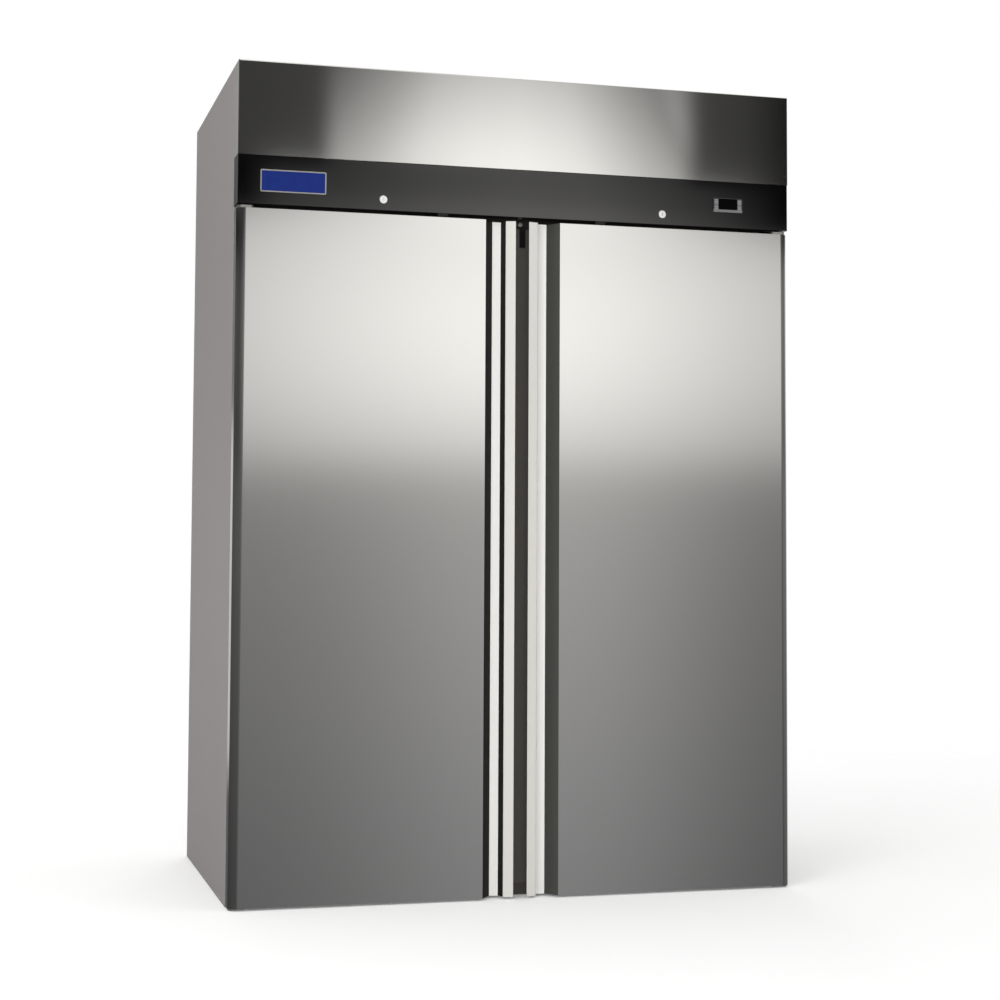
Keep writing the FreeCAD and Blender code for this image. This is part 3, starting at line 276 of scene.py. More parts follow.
def around(stops):
    return by_angle(azimuth, -180.0, 180.0, stops)


def by_height(stops):
    return by_angle(elevation, -90.0, 90.0, stops)


def patch(height_stops, around_stops):
    return w.math("MULTIPLY", by_height(height_stops), around(around_stops))


below = w.mix(w.soft_step(elevation, *WALL_START), patch(FLOOR_BY_HEIGHT, AROUND_FLOOR),
              patch(WALL_BY_HEIGHT, AROUND_WALL))
below = w.math("ADD", below, patch(GLOW_BY_HEIGHT, AROUND_GLOW))
sill = w.math("MULTIPLY", w.ramp(w.from_zero(rise, *SILL_RISE), SILL_BY_RISE),
              by_angle(azimuth, *SILL_SPAN, ACROSS_SILL))

taper = w.math("MULTIPLY_ADD", w.math("SUBTRACT", elevation, WINDOW_LEVEL), WINDOW_TAPER, 1.0)
from_middle = w.math("MULTIPLY", w.math("SUBTRACT", azimuth, WINDOW_MIDDLE), taper)
across = w.math("ADD", from_middle, WINDOW_MIDDLE)
window = w.math("MULTIPLY", by_height(WINDOW_BY_HEIGHT),
                by_angle(across, *WINDOW_SPAN, ACROSS_WINDOW))
right_of_left = w.soft_step(azimuth, *WINDOW_LEFT)
left_of_right = w.math("SUBTRACT", 1.0, w.soft_step(azimuth, *WINDOW_RIGHT))
window = w.math("MULTIPLY", window, w.math("MULTIPLY", right_of_left, left_of_right))
window = w.math("ADD", window, patch(ABOVE_BY_HEIGHT, AROUND_ABOVE))
window = w.math("ADD", window, around(BEHIND_LEFT))

above = w.mix(w.soft_step(rise, *WINDOW_START), sill, window)
in_gloss = w.mix(w.soft_step(rise, *SILL_START), below, above)
plain = w.math("ADD", patch(REAR_BY_HEIGHT, AROUND_REAR), patch(LOW_BY_HEIGHT, AROUND_LOW))
in_gloss = w.math("ADD", in_gloss, plain)
tint = w.mix(w.soft_step(elevation, *TINT_CHANGE), LOW_TINT, HIGH_TINT)
in_gloss = w.mix(1.0, in_gloss, tint, "MULTIPLY")

ray = w.node("ShaderNodeLightPath").outputs
as_background = w.math("MAXIMUM", ray["Is Camera Ray"], ray["Is Transmission Ray"])
ambient = w.node("ShaderNodeBackground", Color=WHITE, Strength=MATT_LIGHT).outputs[0]
gloss = w.node("ShaderNodeBackground", Color=in_gloss, Strength=1.0).outputs[0]
white = w.node("ShaderNodeBackground", Color=WHITE, Strength=1.0).outputs[0]
w.finish(w.shader(as_background, w.shader(ray["Is Glossy Ray"], ambient, gloss), white),
         "ShaderNodeOutputWorld")


# Lamps: name, place, target, size and strength, the light on a surface that faces one at its target

MIDDLE = (0, 0, 0.8)
LAMPS = (
    ("key", (-3.6, -4.4, 3.0), MIDDLE, 2.6, 0.30),
    ("front", (-1.2, -6.0, 1.6), MIDDLE, 2.2, 0.22),
    ("fill", (4.4, -3.6, 3.0), MIDDLE, 3.0, 0.06),
    ("back", (0.5, 4.8, 3.4), MIDDLE, 3.0, 0.22),
    ("side", (-4.6, 0.6, 0.4), (0, 0, 0.4), 3.0, 0.18),
)
for name, place, target, size, strength in LAMPS:
    lamp = bpy.data.lights.new(name, "AREA")
    lamp.shape = "SQUARE"
    lamp.size = size
    aim = Vector(target) - Vector(place)
    lamp.energy = strength * math.pi ** 2 * aim.length ** 2
    made = bpy.data.objects.new(name, lamp)
    made.location = place
    made.rotation_euler = aim.to_track_quat("-Z", "Y").to_euler()
    made.visible_glossy = False
    scene.collection.objects.link(made)


# Floor of pale paper, which takes the shadow and fades out into the white background

FLOOR_REACH = 4.5
FLOOR_DROP = 0.0005
FADE = (1.2, 4.3)
PAPER_DARK, PAPER_LIGHT = (0.955, 0.955, 0.952), (0.965, 0.965, 0.962)
PAPER_GRAIN = 3.0
PAPER_LIFT = 0.14

floor_mesh = bpy.data.meshes.new("floor")
corners = [(x * FLOOR_REACH, y * FLOOR_REACH, 0) for x, y in ((-1, -1), (1, -1), (1, 1), (-1, 1))]
floor_mesh.from_pydata(corners, [], [(0, 1, 2, 3)])
floor = bpy.data.objects.new("floor", floor_mesh)
scene.collection.objects.link(floor)
floor.location.z = -FLOOR_DROP
floor.visible_glossy = False
paper = bpy.data.materials.new("floor_paper")
t = Tree(paper)
paper_colour = t.mix(t.noise(PAPER_GRAIN, detail=2.0), PAPER_DARK, PAPER_LIGHT)
reach = t.node("ShaderNodeVectorMath", {"operation": "LENGTH"}, _0=t.object_place())
to_camera = t.node("ShaderNodeLightPath").outputs["Is Camera Ray"]
lift = t.node("ShaderNodeEmission", Strength=t.math("MULTIPLY", to_camera, PAPER_LIFT)).outputs[0]
sheet = t.node("ShaderNodeBsdfDiffuse", Color=paper_colour).outputs[0]
sheet = t.node("ShaderNodeAddShader", _0=sheet, _1=lift).outputs[0]
clear = t.node("ShaderNodeBsdfTransparent").outputs[0]
t.finish(t.shader(t.soft_step(reach.outputs["Value"], *FADE), sheet, clear))
floor_mesh.materials.append(paper)


# Materials. Scales of noise count its waves in a metre, and depths of bumps are in metres.

GRAIN_ACROSS = 900
GRAIN_ALONG = 8
FINE_GRAIN = 900.0
CLOUD = 6.0
BRUSH_DEPTH = 0.00002
LINE_DEPTH = 0.00003
GRAIN_DEPTH = 0.00005
PEEL_DEPTH = 0.00008
CELL_DEPTH = 0.0003
RIB_DEPTH = 0.0003


def material(name):
    made = bpy.data.materials.new(name)
    return made, Tree(made)


def brushed(name, colour, along, spread, roughness, anisotropy, rotation=0.0, bump=0.10):
    """Brushed metal: grain lines along an axis, with faint cloudy wear."""
    wear_scale = 2.2
    grain_share = 0.6
    made, t = material(name)
    stretch = tuple(GRAIN_ALONG if axis == along else GRAIN_ACROSS for axis in "xyz")
    grain = t.noise(1.0, detail=4.0, stretch=stretch, roughness=0.7)
    shade = t.weighted(grain_share, grain, t.noise(wear_scale))
    t.finish(t.principled(Base_Color=t.mix(shade, *varied(colour, spread, spread)), Metallic=1.0,
                          Roughness=t.between(shade, roughness * 0.85, roughness * 1.15),
                          Anisotropic=anisotropy, Anisotropic_Rotation=rotation,
                          Normal=t.bump(grain, bump, BRUSH_DEPTH)))
    return made


def moulded(name, colour, roughness, fleck=0.06, grain_scale=FINE_GRAIN, bump=0.25,
            specular=0.5):
    """Moulded plastic or rubber with a fine texture."""
    made, t = material(name)
    grain = t.noise(grain_scale)
    t.finish(t.principled(Base_Color=t.mix(t.noise(CLOUD), *varied(colour, fleck, fleck)),
                          Roughness=t.between(grain, roughness * 0.88, roughness * 1.13),
                          Specular_IOR_Level=specular, Normal=t.bump(grain, bump, GRAIN_DEPTH)))
    return made


def painted(name, colour, roughness, bump=0.12):
    """Baked paint with a faint orange peel."""
    skin_scale = 420.0
    tone_scale = 1.6
    tone_spread = 0.015
    made, t = material(name)
    skin = t.noise(skin_scale, detail=2.0)
    tone = t.mix(t.noise(tone_scale), *varied(colour, tone_spread, tone_spread))
    t.finish(t.principled(Base_Color=tone, Specular_IOR_Level=0.4,
                          Roughness=t.between(skin, roughness * 0.9, roughness * 1.1),
                          Normal=t.bump(skin, bump, PEEL_DEPTH)))
    return made


ZINC = (0.47, 0.48, 0.49)
ZINC_ROUGHNESS = 0.50
ZINC_METALLIC = 0.35
ZINC_CRYSTALS = 110.0
ZINC_CLOUD = 5.0
CRYSTAL_SHARE = 0.7


def zinc_coat(t):
    """Zinc coat with its crystal pattern."""
    crystal = t.node("ShaderNodeSeparateColor", _0=t.cells(ZINC_CRYSTALS, "Color")).outputs[0]
    shade = t.weighted(CRYSTAL_SHARE, crystal, t.noise(ZINC_CLOUD))
    rough = t.between(crystal, ZINC_ROUGHNESS * 0.87, ZINC_ROUGHNESS * 1.12)
    return t.principled(Base_Color=t.mix(shade, *varied(ZINC, 0.10, 0.08)), Roughness=rough,
                        Metallic=ZINC_METALLIC)


def zinc_sheet():
    made, t = material("zinc_sheet")
    t.finish(zinc_coat(t))
    return made


def shade_fronted(name, node, colour):
    """Zinc sheet whose front face takes a dark colour: painted shade for the gap between the doors,
    which shows that face.
    """
    face_depth = 0.0006
    skin_scale = 700.0
    made, t = material(name)
    # Painted shade: the front face is coloured dark, standing in for the shade in the gap between
    # the doors.
    on_shaded_front = t.math("LESS_THAN", t.xyz()[1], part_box(node)[0].y + face_depth)
    skin = t.noise(skin_scale, detail=2.0)
    face = t.principled(Base_Color=t.mix(skin, *varied(colour, 0.0, 0.10)),
                        Roughness=t.between(skin, 0.45, 0.55), Specular_IOR_Level=0.3)
    t.finish(t.shader(on_shaded_front, zinc_coat(t), face))
    return made


def foam_material():
    cell_scale = 1400.0
    made, t = material("foam")
    cells = t.cells(cell_scale, "Distance")
    t.finish(t.principled(Base_Color=t.mix(cells, (0.72, 0.62, 0.40), (0.80, 0.71, 0.48)),
                          Roughness=0.9, Normal=t.bump(cells, 0.5, CELL_DEPTH)))
    return made


def plate_material():
    """Blue enamel field in a polished border."""
    border = 0.0027
    line_along = 60
    swirl_scale = 60.0
    low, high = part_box("badge_plate")
    middle = (low + high) / 2
    made, t = material("name_plate")
    place = t.xyz()
    sideways = t.math("ABSOLUTE", t.math("SUBTRACT", place[0], middle.x))
    upward = t.math("ABSOLUTE", t.math("SUBTRACT", place[2], middle.z))
    on_border = t.math("MAXIMUM",
                       t.math("GREATER_THAN", sideways, high.x - middle.x - border),
                       t.math("GREATER_THAN", upward, high.z - middle.z - border))
    swirl = t.noise(swirl_scale)
    enamel = t.principled(Base_Color=t.mix(swirl, linear(4, 28, 96), linear(8, 38, 116)),
                          Roughness=t.between(swirl, 0.20, 0.28), Specular_IOR_Level=0.3)
    line = t.noise(1.0, stretch=(line_along, GRAIN_ACROSS, GRAIN_ACROSS))
    rim = t.principled(Base_Color=t.mix(line, (0.62, 0.62, 0.60), (0.80, 0.80, 0.78)),
                       Roughness=t.between(line, 0.24, 0.34), Metallic=1.0)
    t.finish(t.shader(on_border, enamel, rim))
    return made


def strip_material():
    """Glossy charcoal front between paler, matt end faces."""
    end_depth = 0.0008
    grain_scale = 1200.0
    end_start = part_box("control_strip")[1].x - end_depth
    made, t = material("charcoal")
    on_end = t.math("GREATER_THAN", t.math("ABSOLUTE", t.xyz()[0]), end_start)
    grain = t.noise(grain_scale)
    cloud = t.noise(CLOUD)
    front = t.principled(Base_Color=t.mix(cloud, linear(3.8, 3.8, 4.6), linear(4.2, 4.2, 5.2)),
                         Roughness=t.between(grain, 0.040, 0.051), Specular_IOR_Level=0.66,
                         Normal=t.bump(grain, 0.02, GRAIN_DEPTH))
    end = t.principled(Base_Color=t.mix(cloud, linear(66, 65, 66), linear(72, 71, 72)),
                       Roughness=t.between(grain, 0.45, 0.55), Specular_IOR_Level=0.2)
    t.finish(t.shader(on_end, front, end))
    return made


def bezel_material():
    """Dark controller frame with a paler sill under its window."""
    made, t = material("bezel_plastic")
    on_sill = t.math("LESS_THAN", t.xyz()[2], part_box("display_window")[0].z)
    grain = t.noise(FINE_GRAIN)
    tone = t.mix(on_sill, t.mix(grain, grey(50), grey(58)), t.mix(grain, grey(104), grey(114)))
    t.finish(t.principled(Base_Color=tone, Roughness=t.between(grain, 0.30, 0.38),
                          Specular_IOR_Level=0.3, Normal=t.bump(grain, 0.25, GRAIN_DEPTH)))
    return made


def ribbed_material():
    """Controller keys: pale plastic with fine ribs across; the colour follows the ribs, darker in
    their hollows and lighter on their crests, as painted shade and highlight.
    """
    rib_pitch = 0.0042
    made, t = material("key_plastic")
    wave = t.math("SINE", t.math("MULTIPLY", t.xyz()[2], 2 * math.pi / rib_pitch))
    rib_and_painted_shade = t.math("MULTIPLY_ADD", wave, 0.5, 0.5)
    # Painted shade in the rib hollows and painted highlight on the crests.
    t.finish(t.principled(Base_Color=t.mix(rib_and_painted_shade, grey(88), grey(142)), Specular_IOR_Level=0.3,
                          Roughness=t.between(t.noise(FINE_GRAIN), 0.40, 0.50),
                          Normal=t.bump(rib_and_painted_shade, 0.6, RIB_DEPTH)))
    return made


def trim_material():
    """Pale lip and groove floor; both lie in one node, on either side of its middle. The floor is
    coloured near white as painted light against the shade under the lip.
    """
    line_along = 12
    low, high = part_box("door_grip_trim_right")
    made, t = material("grip_trim")
    on_lifted_floor = t.math("GREATER_THAN", t.math("ABSOLUTE", t.xyz()[0]), (low.x + high.x) / 2)
    line = t.noise(1.0, stretch=(GRAIN_ACROSS, GRAIN_ACROSS, line_along))
    lip = t.mix(line, linear(205, 203, 197), linear(210, 208, 202))
    # Painted light: the groove floor is made near white to offset the shade under the lip.
    groove_painted_light = t.mix(t.noise(CLOUD), linear(247, 246, 242), linear(250, 249, 245))
    t.finish(t.principled(Base_Color=t.mix(on_lifted_floor, lip, groove_painted_light),
                          Roughness=t.between(line, 0.34, 0.42),
                          Normal=t.bump(line, 0.05, LINE_DEPTH)))
    return made


STEEL = (0.70, 0.70, 0.69)
PAINT = linear(139, 135, 134)
header_steel = brushed("header_steel", STEEL, "x", spread=0.03, roughness=0.05, anisotropy=0.5,
                       rotation=0.25, bump=0.03)
door_steel = brushed("door_steel", STEEL, "z", spread=0.03, roughness=0.125, anisotropy=0.75,
                     bump=0.05)
chrome = brushed("chrome", (0.85, 0.85, 0.85), "z", spread=0.03, roughness=0.10, anisotropy=0.0,
                 bump=0.03)
plated = brushed("plated_steel", (0.66, 0.65, 0.62), "z", spread=0.08, roughness=0.32,
                 anisotropy=0.2, bump=0.15)
fins = brushed("aluminium_fins", (0.78, 0.79, 0.80), "z", spread=0.05, roughness=0.35,
               anisotropy=0.4)
copper = brushed("copper", (0.80, 0.44, 0.30), "z", spread=0.10, roughness=0.26, anisotropy=0.1,
                 bump=0.08)
pot_black = painted("pot_black", linear(22, 22, 23), roughness=0.35, bump=0.3)
# The left door's channel: a darker, duller copy of the channel plastic, painted shade for the dim
# reflection on its walls; the right door's channel keeps the plain colour.
channel_painted_shade = moulded("channel_painted_shade", linear(30, 29, 27), roughness=0.50, fleck=0.05,
                       specular=0.03)
channel_dark = moulded("channel_dark", linear(66, 66, 62), roughness=0.30, fleck=0.05,
                       specular=0.4)
mullion_dark = moulded("mullion_dark", linear(98, 95, 90), roughness=0.42, fleck=0.05)
window_black = moulded("window_black", linear(3, 3, 4), roughness=0.08, fleck=0.05,
                       grain_scale=40.0, bump=0.02, specular=0.06)
liner_white = moulded("liner_white", linear(236, 237, 236), roughness=0.35, fleck=0.01,
                      grain_scale=260.0, bump=0.2)
coated = moulded("coated_wire", linear(225, 226, 225), roughness=0.32, fleck=0.03,
                 grain_scale=500.0, bump=0.2)
rubber = moulded("gasket_rubber", linear(58, 58, 60), roughness=0.55, fleck=0.05,
                 grain_scale=700.0)
black_plastic = moulded("black_plastic", linear(24, 24, 25), roughness=0.38)
grey_plastic = moulded("grey_plastic", linear(150, 152, 152), roughness=0.42)
fan_black = moulded("fan_plastic", linear(28, 28, 30), roughness=0.40)

LOOKS = {
    painted("side_paint", PAINT, roughness=0.55): ["side_panel_left", "side_panel_right"],
    painted("grille_paint", PAINT, roughness=0.5): ["rear_grille"],
    zinc_sheet(): ["back_panel", "unit_base", "condenser_shroud", "control_box"],
    # Painted shade on the deck's and the pan's front faces, for the gap between the doors.
    shade_fronted("deck_zinc_painted_shade", "top_deck", linear(48, 46, 44)): ["top_deck"],
    shade_fronted("pan_zinc_painted_shade", "base_pan", linear(84, 81, 76)): ["base_pan"],
    header_steel: ["header_panel"],
    door_steel: ["door_skin_left", "door_skin_right"],
    strip_material(): ["control_strip"],
    trim_material(): ["door_grip_trim_left", "door_grip_trim_right"],
    # The left channel takes the darker copy of the channel plastic, which is painted shade.
    channel_painted_shade: ["door_channel_left"],
    channel_dark: ["door_channel_right"],
    black_plastic: ["mullion_cover", "door_sensors", "power_gland"],
    bezel_material(): ["display_bezel"],
    window_black: ["display_window"],
    ribbed_material(): ["key_set", "key_defrost", "key_up", "key_down"],
    plate_material(): ["badge_plate"],
    chrome: ["lock_left", "lock_right"],
    plated: ["hinge_brackets", "screws", "shelf_clips", "pilasters"],
    liner_white: ["liner_sides", "liner_back", "liner_floor", "liner_ceiling",
                  "door_liner_left", "door_liner_right", "evaporator_cover"],
    grey_plastic: ["door_caps_left", "door_caps_right"],
    mullion_dark: ["mullion", "breaker_strips"],
    rubber: ["door_gasket_left", "door_gasket_right"],
    coated: ["shelves_left", "shelves_right"],
    fins: ["evaporator_coil", "condenser_coil"],
    fan_black: ["evaporator_fan_left", "evaporator_fan_right", "condenser_fan"],
    pot_black: ["compressor", "condenser_motor", "evaporator_motors"],
    copper: ["refrigerant_lines"],
    foam_material(): ["cabinet_foam", "door_foam_left", "door_foam_right"],
}
for look, names in LOOKS.items():
    for name in names:
        mesh = nodes[name].data
        mesh.materials.clear()
        mesh.materials.append(look)


# Finer pieces that stand for plain solids

WIRE_UNIT = 0.001
WIRE_STEPS = 3


def finished(name, data, look, body, replaced):
    """Places a mesh or curve as a piece of a body, in the stead of a node."""
    made = bpy.data.objects.new(name, data)
    data.materials.append(look)
    scene.collection.objects.link(made)
    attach(made, body)
    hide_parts(replaced)


def mesh_of(name, points, faces, smooth_angle=0.0):
    mesh = bpy.data.meshes.new(name)
    mesh.from_pydata(points, [], faces)
    builder = bmesh.new()
    builder.from_mesh(mesh)
    bmesh.ops.recalc_face_normals(builder, faces=builder.faces)
    builder.to_mesh(mesh)
    builder.free()
    if smooth_angle:
        mesh.shade_smooth()
        mesh.set_sharp_from_angle(angle=smooth_angle)
    return mesh


def wires_of(name, runs):
    """Curve of round wires, from (radius, points, closed) runs."""
    curve = bpy.data.curves.new(name, "CURVE")
    curve.dimensions = "3D"
    curve.bevel_depth = WIRE_UNIT
    curve.bevel_resolution = WIRE_STEPS
    curve.use_fill_caps = True
    for radius, points, closed in runs:
        spline = curve.splines.new("POLY")
        spline.points.add(len(points) - 1)
        for place, point in zip(spline.points, points):
            place.co = (*point, 1.0)
            place.radius = radius / curve.bevel_depth
        spline.use_cyclic_u = closed
    return curve


def round_rectangle(u0, u1, v0, v1, radius, steps=6):
    """Points round a rectangle whose corners are arcs."""
    points = []
    for u, v, start in ((u1, v1, 0), (u0, v1, 90), (u0, v0, 180), (u1, v0, 270)):
        centre_u = u - math.copysign(radius, u - (u0 + u1) / 2)
        centre_v = v - math.copysign(radius, v - (v0 + v1) / 2)
        for i in range(steps + 1):
            turn = math.radians(start + 90 * i / steps)
            points.append((centre_u + radius * math.cos(turn), centre_v + radius * math.sin(turn)))
    return points


# Wire shelves: a round rim with stay wires, and fine wires laid over them from front to back

SHELF_LEVELS = 3
SHELF_DEPTH = 0.008
RIM_RADIUS = 0.0024
RIM_CORNER = 0.012
FINE_RADIUS = 0.0014
FINE_PITCH = 0.0254
STAY_COUNT = 4


def shelf_runs(low, high, top):
    x0, x1 = low.x + RIM_RADIUS, high.x - RIM_RADIUS
    z_rim = top - 2 * FINE_RADIUS - RIM_RADIUS
    rim = round_rectangle(x0, x1, low.y + RIM_RADIUS, high.y - RIM_RADIUS, RIM_CORNER)
    runs = [(RIM_RADIUS, [(x, y, z_rim) for x, y in rim], True)]
    for i in range(1, STAY_COUNT + 1):
        y = low.y + (high.y - low.y) * i / (STAY_COUNT + 1)
        runs.append((RIM_RADIUS, [(x0, y, z_rim), (x1, y, z_rim)], False))
    first, last = low.x + RIM_CORNER, high.x - RIM_CORNER
    y0, y1 = low.y + FINE_RADIUS, high.y - FINE_RADIUS
    z_fine = top - FINE_RADIUS
    count = round((last - first) / FINE_PITCH)
    for i in range(count + 1):
        x = first + (last - first) * i / count
        runs.append((FINE_RADIUS, [(x, y0, z_fine), (x, y1, z_fine)], False))
    return runs


for word in SIDES:
    node = "shelves_" + word
    low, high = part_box(node)
    pitch = (high.z - low.z - SHELF_DEPTH) / (SHELF_LEVELS - 1)
    runs = []
    for level in range(SHELF_LEVELS):
        runs += shelf_runs(low, high, low.z + SHELF_DEPTH + level * pitch)
    finished("wire_" + node, wires_of("wire_" + node, runs), coated, "cabinet", node)


# Door gaskets: a bellows with the magnet's flat tube in front, round each door.
# The bellows' section is given in shares of its width and depth.

BELLOWS = (
    (0.0, 0.15), (0.045, 0.38), (0.0, 0.58), (0.03, 0.93), (0.12, 1.0), (0.88, 1.0),
    (0.97, 0.93), (1.0, 0.58), (0.955, 0.38), (1.0, 0.15), (0.95, 0.0), (0.05, 0.0))
GASKET_WIDTH = 0.012
GASKET_CORNER = 0.006
LEAST_CORNER = 0.0005
GASKET_SMOOTHING = math.radians(50)

for word in SIDES:
    node = "door_gasket_" + word
    low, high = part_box(node)
    rings = []
    for width_share, depth_share in BELLOWS:
        inset = width_share * GASKET_WIDTH
        corner = max(GASKET_CORNER - inset, LEAST_CORNER)
        y = low.y + depth_share * (high.y - low.y)
        ring = round_rectangle(low.x + inset, high.x - inset, low.z + inset, high.z - inset, corner)
        rings.append([(x, y, z) for x, z in ring])
    size = len(rings[0])
    faces = []
    for i in range(len(rings)):
        here, there = i * size, (i + 1) % len(rings) * size
        faces += [(here + j, here + (j + 1) % size, there + (j + 1) % size, there + j)
                  for j in range(size)]
    mesh = mesh_of("bellows_" + node, sum(rings, []), faces, GASKET_SMOOTHING)
    finished("bellows_" + node, mesh, rubber, "door_" + word, node)


# Finned coils: folded fins on rows of tube that turn back outside the end plates

FIN_PITCH = 0.0042
FIN_THICKNESS = 0.0003
FIN_FOLD = 0.0009
FIN_FOLDS = 6
END_PLATE = 0.0015
TUBE_RADIUS = 0.0048
BEND_STEPS = 8


def fin_block(low, high):
    """Points and faces of folded fins side by side across a block."""
    points, faces = [], []
    count = int((high.x - low.x) / FIN_PITCH)
    for i in range(count):
        x = low.x + (high.x - low.x) * (i + 0.5) / count
        start = len(points)
        for j in range(FIN_FOLDS + 1):
            y = low.y + (high.y - low.y) * j / FIN_FOLDS
            bent = x + FIN_FOLD / 2 * (-1) ** j
            for side_x in (bent, bent + FIN_THICKNESS):
                points += [(side_x, y, low.z), (side_x, y, high.z)]
        for j in range(FIN_FOLDS):
            a, b = start + 4 * j, start + 4 * j + 4
            faces += [(a, a + 1, b + 1, b), (a + 2, b + 2, b + 3, a + 3),
                      (a + 1, a + 3, b + 3, b + 1), (a, b, b + 2, a + 2)]
        last = start + 4 * FIN_FOLDS
        faces += [(start, start + 2, start + 3, start + 1), (last, last + 1, last + 3, last + 2)]
    return points, faces


def plate_block(points, faces, low, high):
    """Adds a plain plate's points and faces."""
    start = len(points)
    points += [(x, y, z) for x in (low[0], high[0]) for y in (low[1], high[1])
               for z in (low[2], high[2])]
    for corners in ((0, 1, 3, 2), (4, 6, 7, 5), (0, 4, 5, 1),
                    (2, 3, 7, 6), (0, 2, 6, 4), (1, 5, 7, 3)):
        faces.append(tuple(start + c for c in corners))


def return_bends(x0, x1, y, levels):
    """One tube that runs to and fro at the levels given, turning back at each end."""
    points = []
    for i, z in enumerate(levels):
        start, end = (x0, x1) if i % 2 == 0 else (x1, x0)
        points += [(start, y, z), (end, y, z)]
        if i + 1 < len(levels):
            radius = (levels[i + 1] - z) / 2
            way = 1 if end == x1 else -1
            for j in range(1, BEND_STEPS):
                turn = math.pi * j / BEND_STEPS
                points.append((end + way * radius * math.sin(turn), y,
                               z + radius - radius * math.cos(turn)))
    return points


def coil(name, fins_below, fins_above, rows, columns):
    """Finned coil in a node's box, with its fins held off the box's lower and upper side."""
    node = name + "_coil"
    low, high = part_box(node)
    z0, z1 = low.z + fins_below, high.z - fins_above
    row_pitch = (z1 - z0) / rows
    margin = row_pitch / 2 + TUBE_RADIUS + END_PLATE
    plates = (low.x + margin, high.x - margin)
    points, faces = fin_block(Vector((plates[0], low.y, z0)), Vector((plates[1], high.y, z1)))
    for x in plates:
        plate_block(points, faces, (x - END_PLATE / 2, low.y, low.z),
                    (x + END_PLATE / 2, high.y, high.z))
    finished(name + "_fins", mesh_of(name + "_fins", points, faces), fins,
             "cabinet", node)
    levels = [z0 + row_pitch * (i + 0.5) for i in range(rows)]
    runs = []
    for i in range(columns):
        y = low.y + (high.y - low.y) * (i + 0.5) / columns
        runs.append((TUBE_RADIUS, return_bends(*plates, y, levels), False))
    finished(name + "_tubes", wires_of(name + "_tubes", runs), copper, "cabinet", node)


coil("evaporator", fins_below=0.0, fins_above=0.025, rows=4, columns=4)
coil("condenser", fins_below=0.016, fins_above=0.0, rows=10, columns=3)


# Fans: twisted, cambered blades on a round-nosed hub.
# The hub's section is given in shares of its radius and length.

HUB = ((0.0, 0.0), (0.70, 0.02), (0.93, 0.12), (1.0, 0.28), (1.0, 1.0), (0.21, 1.0),
       (0.21, 0.035), (0.0, 0.035))
HUB_RADIUS = 0.022
HUB_SEGMENTS = 40
BLADE_COUNT = 5
BLADE_ACROSS = 7
BLADE_ALONG = 8
BLADE_THICKNESS = 0.0014
BLADE_CAMBER = 0.10
BLADE_SWEEP = 0.25
BLADE_ROOT = HUB_RADIUS * 0.95
BLADE_EDGE_GAP = 0.001
ROOT_CHORD, TIP_CHORD = 0.42, 0.72
ROOT_ANGLE, TIP_ANGLE = 34.0, 19.0
DEPTH_SHARE = 0.94
FAN_SMOOTHING = math.radians(40)


def add_hub(points, faces, axis, y0, y1):
    """Adds a hub's points and faces: its section, turned about the axis."""
    for radius_share, length_share in HUB:
        radius = radius_share * HUB_RADIUS
        y = y0 + length_share * (y1 - y0)
        for i in range(HUB_SEGMENTS):
            turn = 2 * math.pi * i / HUB_SEGMENTS
            points.append((axis.x + radius * math.cos(turn), y, axis.z + radius * math.sin(turn)))
    for k in range(len(HUB) - 1):
        here, there = k * HUB_SEGMENTS, (k + 1) * HUB_SEGMENTS
        for i in range(HUB_SEGMENTS):
            j = (i + 1) % HUB_SEGMENTS
            faces.append((here + i, here + j, there + j, there + i))


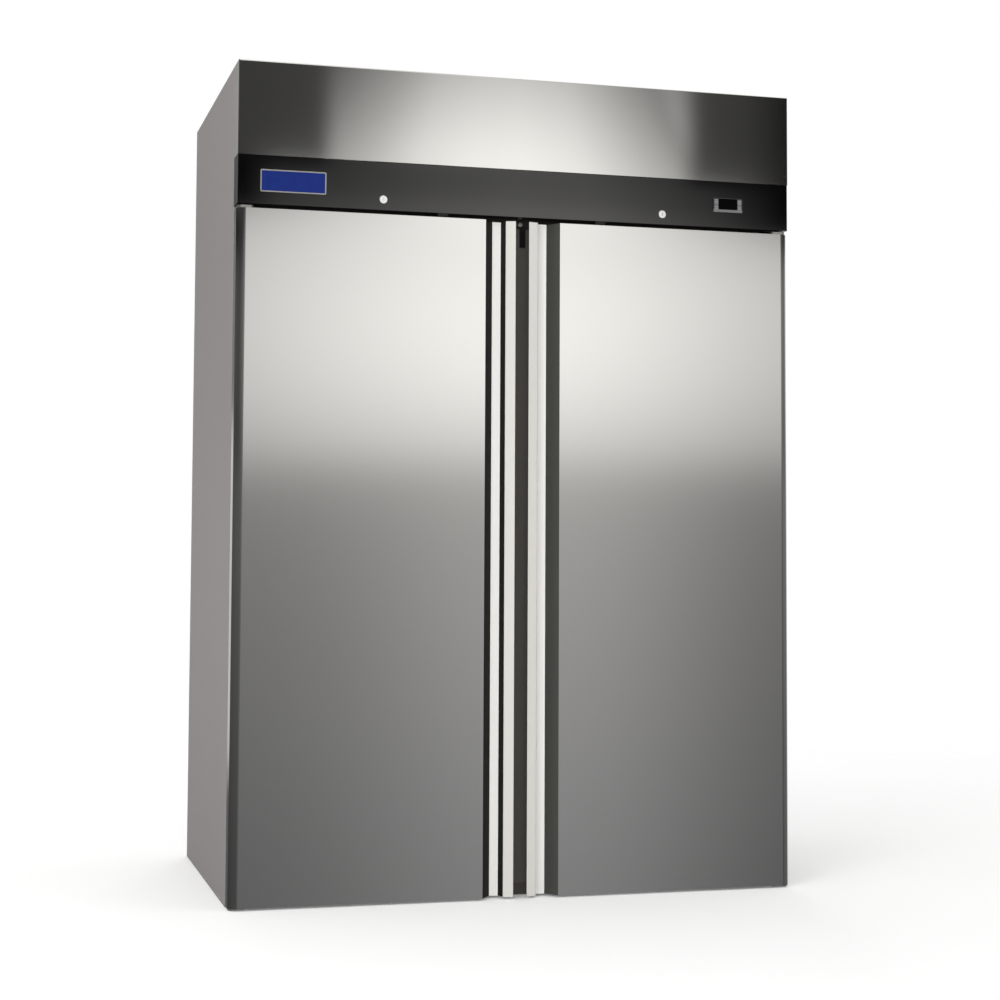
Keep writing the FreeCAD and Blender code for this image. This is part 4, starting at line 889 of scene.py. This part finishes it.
def add_blade(points, faces, axis, y0, y1, tip, start_turn):
    """Adds a blade's points and faces: two skins, joined round their rim."""
    start = len(points)
    depth_room = 2 * ((y1 - y0) / 2 - BLADE_EDGE_GAP - BLADE_THICKNESS)
    for skin_y in (-BLADE_THICKNESS / 2, BLADE_THICKNESS / 2):
        for i in range(BLADE_ALONG):
            part = i / (BLADE_ALONG - 1)
            r = BLADE_ROOT + (tip - BLADE_ROOT) * part
            angle = math.radians(ROOT_ANGLE + (TIP_ANGLE - ROOT_ANGLE) * part)
            chord = min(tip * (ROOT_CHORD + (TIP_CHORD - ROOT_CHORD) * part),
                        depth_room / math.sin(angle))
            for j in range(BLADE_ACROSS):
                share = j / (BLADE_ACROSS - 1) - 0.5
                turn = start_turn + share * chord * math.cos(angle) / r - BLADE_SWEEP * part
                hollow = BLADE_CAMBER * chord * (0.25 - share * share)
                way_in = share * chord * math.sin(angle) * DEPTH_SHARE
                y = (y0 + y1) / 2 + way_in + hollow + skin_y
                y = min(max(y, y0 + BLADE_EDGE_GAP), y1 - BLADE_EDGE_GAP)
                points.append((axis.x + r * math.cos(turn), y, axis.z - r * math.sin(turn)))
    size = BLADE_ALONG * BLADE_ACROSS
    for i in range(BLADE_ALONG - 1):
        for j in range(BLADE_ACROSS - 1):
            a = start + i * BLADE_ACROSS + j
            faces.append((a, a + 1, a + BLADE_ACROSS + 1, a + BLADE_ACROSS))
            a += size
            faces.append((a, a + BLADE_ACROSS, a + BLADE_ACROSS + 1, a + 1))
    rim = (list(range(BLADE_ACROSS))
           + [(i + 1) * BLADE_ACROSS - 1 for i in range(1, BLADE_ALONG)]
           + [size - 1 - j for j in range(1, BLADE_ACROSS)]
           + [(BLADE_ALONG - 1 - i) * BLADE_ACROSS for i in range(1, BLADE_ALONG - 1)])
    for k, a in enumerate(rim):
        b = rim[(k + 1) % len(rim)]
        faces.append((start + a, start + size + a, start + size + b, start + b))


def axis_of(body):
    """Where the joint of a body turns."""
    for joint in frame["record"]["behaviour"]["joints"]:
        if joint["child"] == body:
            return Vector(joint["pos_m"])


for node in ("evaporator_fan_left", "evaporator_fan_right", "condenser_fan"):
    low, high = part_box(node)
    axis = axis_of(node)
    tip = max(high.x - axis.x, axis.x - low.x, high.z - axis.z, axis.z - low.z)
    points, faces = [], []
    add_hub(points, faces, axis, low.y, high.y)
    for blade in range(BLADE_COUNT):
        add_blade(points, faces, axis, low.y, high.y, tip, 2 * math.pi * blade / BLADE_COUNT)
    mesh = mesh_of("bladed_" + node, points, faces, FAN_SMOOTHING)
    finished("bladed_" + node, mesh, fan_black, node, node)
